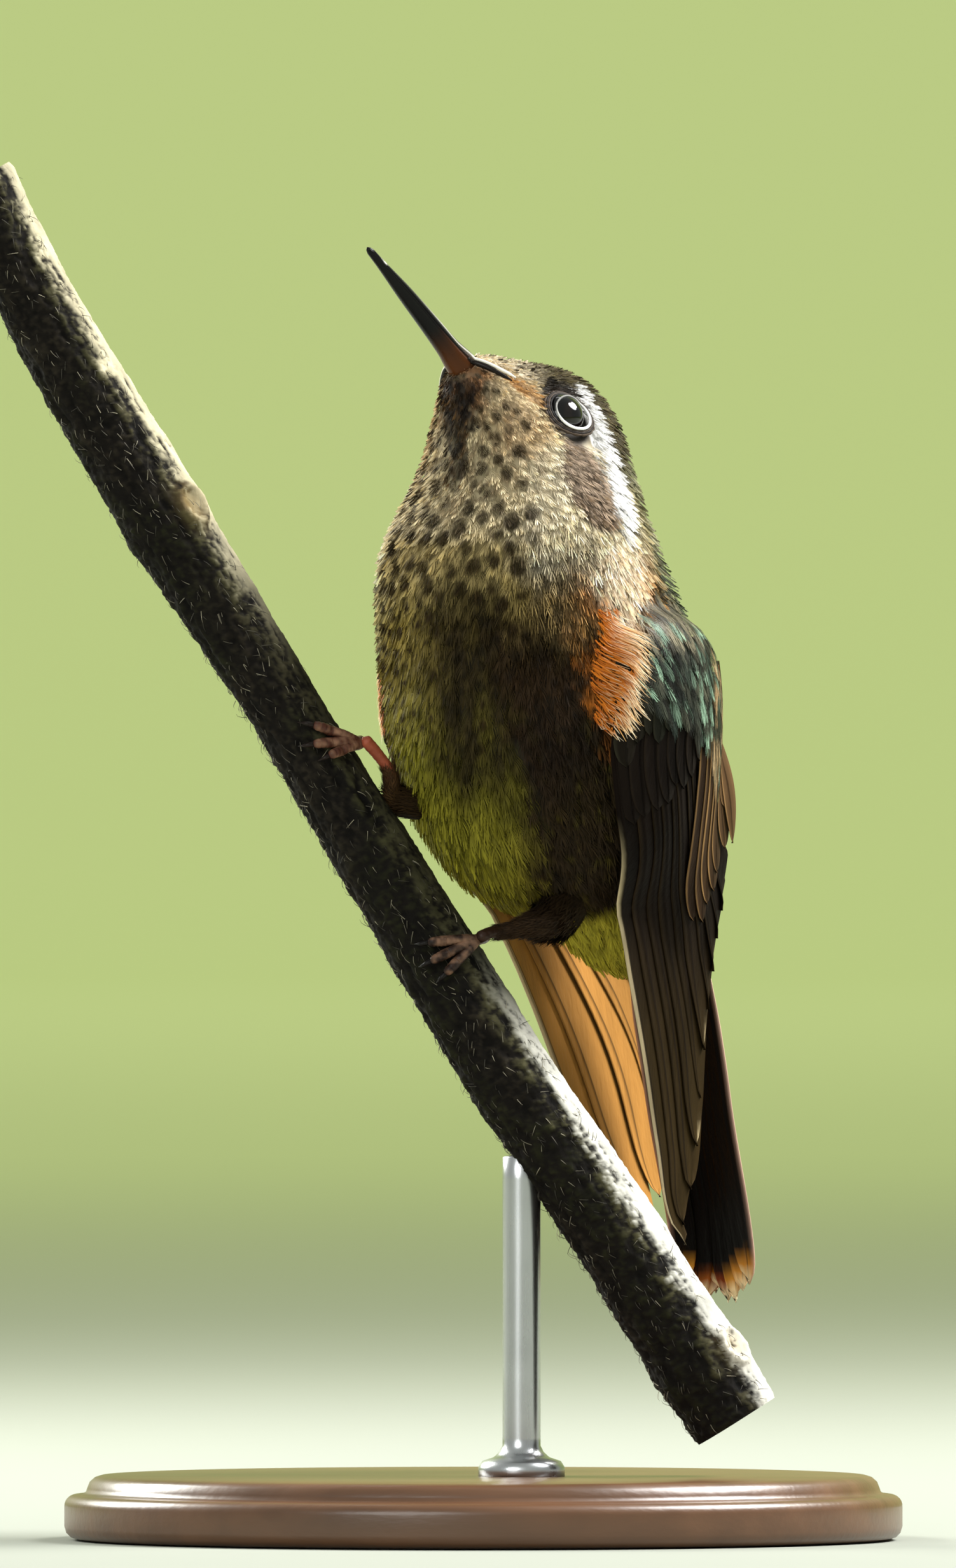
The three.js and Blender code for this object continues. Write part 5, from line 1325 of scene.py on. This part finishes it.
# ------------------------------------------------------------------------- bill
def bill_half(sign):
    n, m = 90, 21
    t = np.linspace(0, 1, n)
    sdist = -1.6 + (BILL_LENGTH + 1.6) * t
    tt = np.clip(sdist / BILL_LENGTH, 0, 1)
    taper = ease(tt, 0, 1, 0.18, 0.66, 0.6, 0.36, 1, 0)
    w = (BILL_TIP_WIDTH + (BILL_ROOT_WIDTH - BILL_TIP_WIDTH) * taper) / 2
    h = (BILL_TIP_DEPTH + (BILL_ROOT_DEPTH - BILL_TIP_DEPTH) * taper) / 2
    point = np.sqrt(np.clip((1 - t) / 0.035, 0, 1))
    w, h = w * (0.15 + 0.85 * point), h * (0.2 + 0.8 * point)
    droop = -0.35 * tt * tt
    centre = BILL_BASE + sdist[:, None] * BILL + droop[:, None] * HUP
    a = np.pi * np.arange(m) / (m - 1)
    x, y = np.cos(a), np.sin(a)
    if sign > 0:                                     # a ridged culmen, overhanging edge
        y = y * (1 + 0.10 * np.exp(-(((a - np.pi / 2) / 0.28) ** 2)))
        x = x * (1 + 0.05 * (1 - y))
    slit = 0.02
    yy = sign * (slit + np.maximum(0, h - slit)[:, None] * y[None, :] * (1.06 if sign > 0 else 0.92))
    xx = w[:, None] * x[None, :]
    v = centre[:, None, :] + xx[..., None] * HLEFT + yy[..., None] * HUP
    # the nostril's long groove near the root of the upper half
    if sign > 0:
        for sd in (1, -1):
            d = (sdist[:, None] - 2.0) / 1.5, (np.cos(a)[None, :] * sd - 0.80) / 0.16
            g = np.exp(-(d[0] ** 2 + d[1] ** 2))
            v = v - 0.14 * g[..., None] * HLEFT * sd
    col = np.broadcast_to(rgb(7, 6, 6), (n, m, 3)).copy()
    if sign < 0:
        warm = (1 - step(0.2, 5.2, sdist))[:, None] * (0.55 + 0.45 * np.sin(a))[None, :]
        col = mix(col, rgb(84, 44, 13), warm)
        col = mix(col, rgb(40, 24, 12), (1 - step(-0.6, 0.8, sdist))[:, None] * np.ones((1, m)) * 0.6)
    else:
        warm = (1 - step(0.6, 2.6, sdist))[:, None] * (np.abs(np.cos(a)) ** 2)[None, :]
        col = mix(col, rgb(48, 26, 12), warm * 0.6)
        # painted highlight: a pale line along the upper half, brightest near the root
        glint = (0.14 + 0.56 * (1 - step(4.0, 9.0, sdist)))[:, None]
        col = mix(col, rgb(206, 202, 194), np.exp(-(((np.minimum(a, np.pi - a) - 0.62) / 0.16) ** 2))[None, :] * glint)
        # painted highlight: a small pale glint on the upper half near the tip
        tip_glint = np.exp(-(((sdist - 0.865 * BILL_LENGTH) / 0.42) ** 2))[:, None] * np.exp(-(((np.minimum(a, np.pi - a) - 0.45) / 0.45) ** 2))[None, :]
        col = mix(col, rgb(214, 210, 202), np.clip(1.5 * tip_glint * noise(v * [1.0, 1.0, 1.0], 0.35, 2) * 1.4 - 0.25, 0, 0.9))
    mid = centre + sign * slit * HUP
    vt = np.concatenate([v.reshape(-1, 3), mid])
    q = [grid_quads(n, m)]
    i = np.arange(n - 1)
    o = n * m
    q.append(np.stack([i * m + m - 1, (i + 1) * m + m - 1, o + i + 1, o + i], -1)[:, ::-1] * 1)
    q.append(np.stack([i * m, (i + 1) * m, o + i + 1, o + i], -1))
    j = np.arange(m - 1)
    q.append(np.stack([np.full(m - 1, o), j + 1, j, j], -1))
    last = (n - 1) * m
    q.append(np.stack([np.full(m - 1, o + n - 1), last + j, last + j + 1, last + j + 1], -1))
    qd = np.concatenate(q)
    if sign > 0:
        qd = qd[:, ::-1]
    cc = np.concatenate([col.reshape(-1, 3), np.broadcast_to(rgb(20, 12, 8), (n, 3))])
    uv = np.concatenate([np.stack([np.tile(a / 3.2, n), np.repeat(t, m)], -1), np.stack([np.full(n, 0.99), t], -1)])
    return mesh_of("bill_top" if sign > 0 else "bill_under", vt, qd, cc, MAT_BILL, uv=uv,
                   replaces=("bill_upper",) if sign > 0 else ("bill_lower",))


bill_half(1)
bill_half(-1)

gape = Heap()
for s in (1, -1):                                    # the mouth's corner runs back under the lores
    pts = np.array([on_head(b, u, s * l) for b, u, l in ((-1.0, 0.0, 1.12), (-0.2, -0.02, 1.3), (0.5, -0.05, 1.75), (1.1, -0.08, 2.45), (1.7, -0.1, 3.05), (2.15, -0.12, 3.4))])
    pts = catmull(pts, 26)
    hgt = np.linspace(0.0, 0.0, 26)
    inside = body_distance(pts)
    pts = np.where((inside < 0.02)[:, None], settle(pts, np.full(26, 0.04)), pts)
    v, q = tube(pts, ease(np.linspace(0, 1, 26), 0, 0.12, 0.3, 0.22, 0.8, 0.18, 1, 0.06), sides=10, up=HUP)
    gape.add(v, q, rgb(22, 16, 12))
    # a thin pale tube above the mouth's line: a painted highlight along the upper half's edge
    v, q = tube(pts + 0.27 * HUP + 0.26 * HLEFT * s, ease(np.linspace(0, 1, 26), 0, 0.06, 0.2, 0.11, 0.85, 0.12, 1, 0.05), sides=8, up=HUP)
    gape.add(v, q, rgb(240, 234, 222))
gape.build("gape", MAT_BILL)


# ------------------------------------------------------------------------ perch
PERCH_TOP, PERCH_END = np.array([-41.0, -3.5, 105.97]), np.array([19.9, -3.5, 9.33])
P_LEN = float(np.linalg.norm(PERCH_END - PERCH_TOP))
P_DIR = (PERCH_END - PERCH_TOP) / P_LEN
P_OUT = np.array([-P_DIR[2], 0.0, P_DIR[0]])
P_SIDE = np.array([0.0, -1.0, 0.0])


def perch_axis(s):
    s = np.asarray(s, float)
    return PERCH_TOP + s[..., None] * P_DIR + ease(s, 0, 1.4, 5, 0.75, 10, 0.42, 22, 0, 50, -0.25, 80, -0.53, 96, -0.2, 114, 0.1)[..., None] * P_OUT


def perch_radius(s):
    s = np.asarray(s, float)
    return (ease(s, 0, 3.2, 12, 3.08, 28, 3.3, 50, 2.85, 70, 3.33, 92, 3.5, P_LEN, 3.65)
            + 0.2 * np.exp(-(((s - 30.5) / 1.6) ** 2)) + 0.2 * np.exp(-(((s - 109) / 1.8) ** 2)))


def on_perch(s, a, off):
    """A place s along the twig, a radians round from its upper side towards -Y."""
    s, a = np.asarray(s, float), np.asarray(a, float)
    r = perch_radius(s) + off
    return perch_axis(s) + (r * np.cos(a))[..., None] * P_OUT + (r * np.sin(a))[..., None] * P_SIDE


def twig():
    n, m = 900, 112
    s = np.linspace(0, P_LEN, n)
    a = 2 * np.pi * np.arange(m) / m
    S, A = np.meshgrid(s, a, indexing="ij")
    wrap = np.stack([np.cos(A) * 3.2, np.sin(A) * 3.2, S * 0.28], -1)
    long_ = noise(wrap, 0.55, 3) - 0.5                # long fissures
    fine = noise(np.stack([np.cos(A) * 3.2, np.sin(A) * 3.2, S], -1), 0.32, 3) - 0.5
    lump = noise(np.stack([np.cos(A) * 3.2, np.sin(A) * 3.2, S * 0.5], -1), 4.0, 2) - 0.5
    upper = np.cos(A)                                  # 1 on the upper right side
    rough = 1 - 0.55 * step(0.35, 0.85, upper)
    off = rough * (0.62 * long_ + 0.30 * fine) + 0.35 * lump
    scar = 0
    for s0, a0, w in ((30.5, 0.75, 1.6), (109.0, 0.6, 1.5), (67.0, 4.0, 1.0)):
        da = (A - a0 + np.pi) % (2 * np.pi) - np.pi
        d = np.sqrt(((S - s0) / w) ** 2 + (da * 3.2 / (w * 0.7)) ** 2)
        off = off + 0.34 * np.exp(-((d - 1.0) / 0.28) ** 2) - 0.30 * np.exp(-((d / 0.55) ** 2))
        scar = np.maximum(scar, np.exp(-((d / 1.0) ** 2)))
    off = np.minimum(off, 0.34)
    ends = np.minimum(step(0, 0.5, S), step(0, 0.5, P_LEN - S))
    v = on_perch(S, A, off - 0.12 * (1 - ends))
    head_end = 1 - step(30, 48, S)
    # painted light: the upper right side is painted pale as a sunlit strip, with a half-lit band beside it
    pale, dark, mid = mix(mix(rgb(92, 88, 70), rgb(208, 206, 196), step(66, 88, S)), rgb(186, 178, 150), head_end), rgb(17, 14, 11), rgb(54, 48, 38)
    edgy = upper + 0.75 * long_ + 0.5 * fine + 0.12 * step(70, 112, S)
    t = step(0.56, 0.90, edgy) * (0.10 + 0.90 * step(66, 85, S) + 0.80 * head_end)
    half = step(0.24, 0.62, edgy) * (0.35 + 0.45 * step(60, 80, S) + 0.40 * head_end)
    col = mix(dark, mix(mid, rgb(44, 46, 24), step(-0.1, 0.1, lump)), np.clip(0.06 + 1.25 * (fine + 0.5 * long_), 0, 0.8))
    col = mix(col, rgb(92, 88, 60), half * 0.6 * step(-0.2, 0.15, fine + long_))
    col = mix(col, pale, t * 0.92)
    col = mix(col, rgb(150, 128, 84), np.clip(scar, 0, 1) * 0.6)
    crack = step(0.16, 0.30, -(long_ + 0.5 * fine))
    col = mix(col, rgb(10, 8, 6), crack * (1 - 0.45 * t))
    heap = Heap()
    heap.add(v.reshape(-1, 3), grid_quads(n, m, closed=True, flip=True), col.reshape(-1, 3))
    for end, flip in ((0, False), (n - 1, True)):      # sawn ends: bark, pale wood, pith
        ring = v[end]
        c = perch_axis(s[end])
        rings, cols = [], []
        fr = np.array([1.0, 0.93, 0.90, 0.7, 0.5, 0.3, 0.14, 0.02])
        cl = [rgb(50, 40, 30), rgb(60, 46, 32), rgb(196, 166, 116), rgb(206, 176, 126), rgb(190, 158, 108), rgb(204, 174, 124), rgb(140, 104, 66), rgb(110, 78, 48)]
        for x, y in zip(fr, cl):
            rr = c + (ring - c) * x
            rings.append(rr)
            cols.append(np.broadcast_to(y, (m, 3)) * (0.9 + 0.2 * noise(rr, 0.5, 2))[:, None])
        heap.add(np.concatenate(rings), grid_quads(len(fr), m, closed=True, flip=flip), np.concatenate(cols))
    return heap.build("twig", MAT_BARK, replaces=("perch",))


def bristles():
    g = np.random.default_rng(88)
    m = 2200
    s = g.uniform(0.5, P_LEN - 0.5, m)
    a = g.uniform(0.55, 2 * np.pi - 0.55, m)
    L = g.uniform(0.35, 0.95, m)
    stand = g.uniform(0.1, 0.75, m)
    turn = g.normal(0.0, 0.5, m)
    n = 4
    t = np.linspace(0, 1, n)
    base = on_perch(s, a, 0.02)
    out = unit(np.cos(a)[:, None] * P_OUT + np.sin(a)[:, None] * P_SIDE)
    rnd = np.cross(P_DIR, out)
    d = unit(-P_DIR[None, :] * np.cos(turn)[:, None] * -1 + rnd * np.sin(turn)[:, None])
    d = np.where((g.random(m) < 0.35)[:, None], -d, d)
    pos = base[:, None, :] + (L[:, None] * t[None, :])[..., None] * d[:, None, :] + (L[:, None] * stand[:, None] * np.sin(t * 1.9)[None, :] * 0.8)[..., None] * out[:, None, :]
    r = 0.036 * (1 - 0.82 * t)
    sidev = unit(np.cross(d, out))
    v = np.stack([pos + sidev[:, None, :] * r[None, :, None], pos - sidev[:, None, :] * r[None, :, None] , pos + out[:, None, :] * (r * 1.6)[None, :, None]], 2)
    i, j = np.meshgrid(np.arange(n - 1), np.arange(3), indexing="ij")
    q = np.stack([i * 3 + j, i * 3 + (j + 1) % 3, (i + 1) * 3 + (j + 1) % 3, (i + 1) * 3 + j], -1).reshape(-1, 4)
    q = np.concatenate([q, [[9, 10, 11, 11]]])
    quads = (q[None] + (np.arange(m) * n * 3)[:, None, None]).reshape(-1, 4)
    c = mix(rgb(50, 46, 36), rgb(170, 162, 138), g.random(m) ** 3.2)
    col = np.broadcast_to(c[:, None, None, :], v.shape)
    uv = np.stack([np.broadcast_to((a / 6.3)[:, None, None], v.shape[:3]), np.broadcast_to((s / 115)[:, None, None], v.shape[:3])], -1)
    return mesh_of("twig_bristles", v.reshape(-1, 3), quads, col.reshape(-1, 3), MAT_BRISTLE, uv=uv.reshape(-1, 2))


twig()
bristles()


# --------------------------------------------------------------- legs and feet
TOE_R = 0.42
FEET = {"left": (71.3, 40, ((-2.3, 64), (-0.6, 74), (1.2, 66), (0.4, -92))), "right": (53.4, 22, ((-4.0, 62), (-2.4, 78), (-0.6, 66), (-0.6, -84)))}


def foot(name):
    s0, a0, toes = FEET[name]
    heap = Heap()
    skin_c, claw_c = (rgb(42, 29, 24), rgb(16, 12, 10)) if name == "left" else (rgb(78, 44, 34), rgb(28, 19, 15))
    for along, turn in toes:
        n = 64
        t = np.linspace(0, 1, n)
        knuckle = 0.22 * np.abs(np.sin(np.pi * t * 2)) * (t < 0.75)
        claw = t > 0.75
        lift = np.where(claw, 0.30 * np.sin(np.pi * np.clip((t - 0.75) / 0.25, 0, 1)) - 0.16 * (t - 0.75) / 0.25, knuckle)
        off = 0.3 + TOE_R + 0.08 + lift + 0.2 * (1 - step(0, 0.2, t)) - 0.12 * (~claw) - 0.05 * claw
        pts = on_perch(s0 + along * t ** 0.9, np.radians(a0 + turn * t), off)
        r = ease(t, 0, TOE_R * 1.1, 0.36, TOE_R * 0.95, 0.5, TOE_R * 1.02, 0.74, TOE_R * 0.86, 0.765, 0.27, 0.86, 0.2, 1, 0.045)
        scute = 1 + 0.085 * np.abs(np.sin(t * np.pi * 15)) ** 0.6 * (t < 0.74)
        v, q = tube(pts, r * scute * 0.92, sides=14, up=P_DIR)
        tt = np.concatenate([np.repeat(t, 14), [0, 1]])
        c = mix(np.broadcast_to(skin_c, (len(tt), 3)), skin_c * 0.45, 0.75 * (np.abs(np.sin(tt * np.pi * 15)) < 0.3))
        # painted highlights: pale blotches on the toes' scales
        pale = np.clip(noise(v, 0.5, 2) * 1.6 - 0.55, 0, 1)
        c = mix(c, rgb(196, 150, 120), pale * 0.55 * (tt < 0.74))
        c = mix(c, claw_c, step(0.745, 0.77, tt))
        heap.add(v, q, c)
    return heap.build("toes_" + name, MAT_FOOT, replaces=("foot_" + name,))


def leg(name, hip, towards, ankle, thigh):
    s0, a0, _ = FEET[name]
    heel = on_perch(s0, math.radians(a0), 0.3 + 2.1 * TOE_R + 0.3 + 0.15 + 0.55 - 0.62)
    hip, towards, ankle = np.array(hip), np.array(towards), np.array(ankle)
    d = (towards - hip) / np.linalg.norm(towards - hip)
    out = hip.copy()
    while body_distance(out) < 0.3 + thigh * 0.9:
        out = out + d * 0.05
    start = out - d * 2.2                             # the thigh grows out of the belly's coat
    pts = catmull([start, out, out * 0.45 + ankle * 0.55, ankle, heel * 0.5 + ankle * 0.5 + 0.15 * UP, heel], 60)
    t = np.linspace(0, 1, 60)
    seg = np.concatenate([[0], np.cumsum(np.linalg.norm(np.diff(pts, axis=0), axis=1))])
    ka = seg[np.argmin(np.linalg.norm(pts - ankle, axis=1))] / seg[-1]
    r = ease(t, 0, thigh * 1.05, ka * 0.45, thigh * 0.86, ka * 0.8, 0.62, ka, 0.56, min(0.98, ka + 0.12), 0.46, 1, 0.5)
    heap = Heap()
    scute = 1 + 0.06 * np.abs(np.sin(t * np.pi * 16)) * (t > ka)
    v, q = tube(pts, r * scute * 0.95, sides=16)
    tt = np.concatenate([np.repeat(t, 16), [0, 1]])
    down, bare = (rgb(42, 28, 14), rgb(46, 29, 20)) if name == "left" else (rgb(62, 42, 22), rgb(150, 76, 54))
    c = mix(down, bare, step(ka - 0.08, ka + 0.05, tt)) * (0.85 + 0.3 * noise(v, 0.4, 2))[:, None]
    heap.add(v, q, c)
    heap.build("shank_" + name, MAT_FOOT, replaces=("leg_" + name,))
    # soft tufts of down lying along the thigh, longest where it leaves the belly
    g = np.random.default_rng(500 + len(name))
    m = 900 if name == "left" else 520
    x = g.uniform(-0.25, ka * 1.03, m)
    ph = g.uniform(0, 2 * np.pi, m)
    xc = np.clip(x, 0, 1)
    ctr = np.stack([np.interp(xc, t, pts[:, i]) for i in range(3)], 1)
    tan = unit(np.stack([np.interp(xc, t, np.gradient(pts[:, i])) for i in range(3)], 1))
    e1 = unit(np.cross(tan, [0.1, 0.9, 0.3]))
    e2 = np.cross(tan, e1)
    o = e1 * np.cos(ph)[:, None] + e2 * np.sin(ph)[:, None]
    sd = np.cross(tan, o)
    root = 1 - step(0.0, ka * 0.75, x)                  # 1 at the belly, 0 near the ankle
    rr = np.interp(xc, t, r) * (0.95 + 0.35 * root)
    ctr = ctr + tan * np.minimum(x, 0)[:, None] * 3.0
    shape = vane(2, 3, 0, 0.05, 0.16)
    a, b, e, kk = shape["a"][None, :], shape["b"][None, :], shape["e"][None, :], shape["k"]
    L = (g.uniform(0.8, 1.3, m) * (1.0 + 1.1 * root))[:, None]
    W = (g.uniform(0.35, 0.55, m) * (1 + 0.8 * root))[:, None]
    h = 0.02 + g.uniform(0.05, 0.35, m)[:, None] * a * (1 + 0.6 * root[:, None])
    mid = ctr[:, None, :] + o[:, None, :] * (rr[:, None] * (1 - 0.16 * a) + h)[..., None] + tan[:, None, :] * (a * L)[..., None] \
        + sd[:, None, :] * ((b + e) * W * 0.5)[..., None]
    quads = (shape["q"][None] + (np.arange(m) * a.size)[:, None, None]).reshape(-1, 4)
    belly, _, _ = plumage(ctr, np.full(m, 60.0), np.full(m, 30.0))
    cc = mix(np.broadcast_to(down * 1.2, (m, 3)), belly, root * 0.75) * g.uniform(0.55, 1.35, (m, 1))
    col = cc[:, None, :] * (0.7 + 0.5 * a)[..., None]
    uv = np.stack([(ph / 6.3)[:, None] + 0.0015 * b + 0 * L, np.clip(x, 0, 1)[:, None] - 0.003 * a + 0 * L], -1)
    mesh_of("thigh_down_" + name, mid.reshape(-1, 3), quads, col.reshape(-1, 3), MAT_BODY, uv=np.clip(uv, 0, 1).reshape(-1, 2))


foot("left")
foot("right")
leg("left", (8.6, 2.0, 52.0), (5.2, -4.4, 48.6), (1.4, -4.9, 47.8), 1.35)
leg("right", (-3.2, -1.0, 57.4), (-6.6, -2.9, 58.2), (-7.4, -3.7, 60.4), 1.35 * 0.62)


# ------------------------------------------------------------------------ stand
def lathe(name, profile, sides, colour, mat, centre=(0, 0), replaces=()):
    p = np.array(profile, float)
    a = 2 * np.pi * np.arange(sides) / sides
    v = np.stack([centre[0] + p[:, 0][:, None] * np.cos(a), centre[1] + p[:, 0][:, None] * np.sin(a), p[:, 1][:, None] + 0 * a], -1)
    col = np.broadcast_to(colour, v.shape) * (0.9 + 0.2 * noise(v * [0.15, 1.2, 1.2], 1.2, 3))[..., None]
    return mesh_of(name, v.reshape(-1, 3), grid_quads(len(p), sides, closed=True), col.reshape(-1, 3), mat,
                   uv=np.stack([np.tile(a / 6.3, len(p)), np.repeat(np.linspace(0, 1, len(p)), sides)], -1), replaces=replaces)


prof = [(0.01, 0.0), (32.0, 0.0), (32.5, 0.15), (32.85, 0.5), (33.0, 1.0), (33.0, 2.6)]
prof += [(33.0 - 0.9 * (1 - math.cos(x)), 2.6 + 0.9 * math.sin(x)) for x in np.linspace(0.2, 1.57, 6)]
prof += [(31.6, 3.55), (31.3, 3.7), (31.2, 4.0), (31.0, 4.5), (30.6, 4.85), (30.1, 5.0), (20.0, 5.0), (8.0, 5.0), (0.01, 5.0)]
lathe("base_disc", prof, 160, rgb(92, 62, 40), MAT_WOOD, replaces=("stand_base",))
ROD_X, ROD_Y = 3.0, -3.5
along = (ROD_X - PERCH_TOP[0]) / P_DIR[0]
top = perch_axis(along)[2] - (float(perch_radius(along)) + 0.1) / P_OUT[2] + 0.6
rod_p = [(0.01, 4.9), (3.4, 4.9), (3.4, 5.7), (3.1, 6.2), (2.2, 6.5), (1.75, 6.9), (1.5, 7.4)] + [(1.5, z) for z in np.linspace(8, top + 0.2, 14)] + [(1.35, top + 0.35), (0.01, top + 0.35)]
lathe("rod_steel", rod_p, 48, rgb(196, 198, 200), MAT_STEEL, centre=(ROD_X, ROD_Y), replaces=("stand_rod",))


# ---------------------------------------------------------- floor, light, camera
paper = bpy.data.materials.new("sweep_paper")
paper.use_nodes = True
_nt = paper.node_tree
_at = _nt.nodes.new("ShaderNodeAttribute")
_at.attribute_name = "Col"
_nt.links.new(_at.outputs["Color"], _nt.nodes["Principled BSDF"].inputs["Base Color"])
_nt.nodes["Principled BSDF"].inputs["Roughness"].default_value = 0.95
_nt.nodes["Principled BSDF"].inputs["Specular IOR Level"].default_value = 0.05

# a floor that sweeps up into a pale wall, with no line between the two
_run = np.concatenate([-14 + 0 * np.arange(1), np.linspace(-3, 7.0, 41), 7.0 + 4.0 * np.sin(np.linspace(0.05, math.pi / 2, 28)), [11.0]])
_rise = np.concatenate([[0.0], np.zeros(41), 4.0 - 4.0 * np.cos(np.linspace(0.05, math.pi / 2, 28)), [12.0]])
_xs = np.linspace(-14, 14, 57)
_sx, _sy = np.meshgrid(_xs, _run)
_sz = np.broadcast_to(_rise[:, None], _sx.shape)
# painted shade: the floor is darker round the stand, toning down the lamps' bright pool there
_far = step(0.2, 2.6, np.hypot(_sx, _sy))
mesh_of("sweep", np.stack([_sx, _sy, _sz - 0.0001], -1).reshape(-1, 3) * 1000.0, grid_quads(*_sx.shape),
        mix(np.array([0.30, 0.315, 0.275]), np.array([0.70, 0.80, 0.36]), _far).reshape(-1, 3), paper, stage=True)

world = bpy.data.worlds.new("studio")
bpy.context.scene.world = world
world.use_nodes = True
world.node_tree.nodes["Background"].inputs["Color"].default_value = (0.92, 0.96, 0.90, 1)
world.node_tree.nodes["Background"].inputs["Strength"].default_value = 0.48


def light(name, place, target, size, power, colour=(1, 1, 1)):
    d = bpy.data.lights.new(name, "AREA")
    d.shape, d.size, d.energy, d.color = "DISK", size, power, colour
    o = bpy.data.objects.new(name, d)
    bpy.context.scene.collection.objects.link(o)
    from mathutils import Vector
    o.location = place
    o.rotation_mode = "QUATERNION"
    o.rotation_quaternion = (Vector(target) - Vector(place)).to_track_quat("-Z", "Y")
    return o


light("key", (0.50, 0.22, 0.62), (0.0, 0.0, 0.06), 0.26, 6.5, (1.0, 0.98, 0.93))
light("fill", (-0.40, -0.95, 0.40), (0.0, 0.0, 0.06), 0.6, 4.3, (0.99, 1.0, 0.98))
light("rim", (-0.42, 0.34, 0.30), (0.0, 0.0, 0.06), 0.3, 5.0, (1.0, 1.0, 0.94))
light("catch", (0.58, 0.0, 0.72), (0.0, 0.0, 0.08), 0.45, 13.0, (1.0, 1.0, 1.0))
light("wall", (0.0, 4.0, 7.0), (0.0, 10.0, 2.6), 3.0, 190.0, (1.0, 1.0, 0.97))

# The camera is level and far off; its frame is 1503 by 2464, 20 pixels to the mm.
WIDE, HIGH, PER_MM = 1503, 2464, 20.0
DISTANCE = 2.4
cam = bpy.data.objects.new("camera", bpy.data.cameras.new("camera"))
bpy.context.scene.collection.objects.link(cam)
cam.location = ((WIDE / 2 - 760) / PER_MM * 0.001, -DISTANCE, (2420 - HIGH / 2) / PER_MM * 0.001)
cam.rotation_euler = (math.pi / 2, 0, 0)
cam.data.sensor_fit = "AUTO"
cam.data.sensor_width = 36.0
cam.data.lens = 36.0 * (DISTANCE - 0.004) / (HIGH / PER_MM * 0.001)
cam.data.clip_start, cam.data.clip_end = 0.05, 50.0
cam.data.dof.use_dof = False
bpy.context.scene.camera = cam
bpy.context.scene.view_settings.view_transform = "Standard"
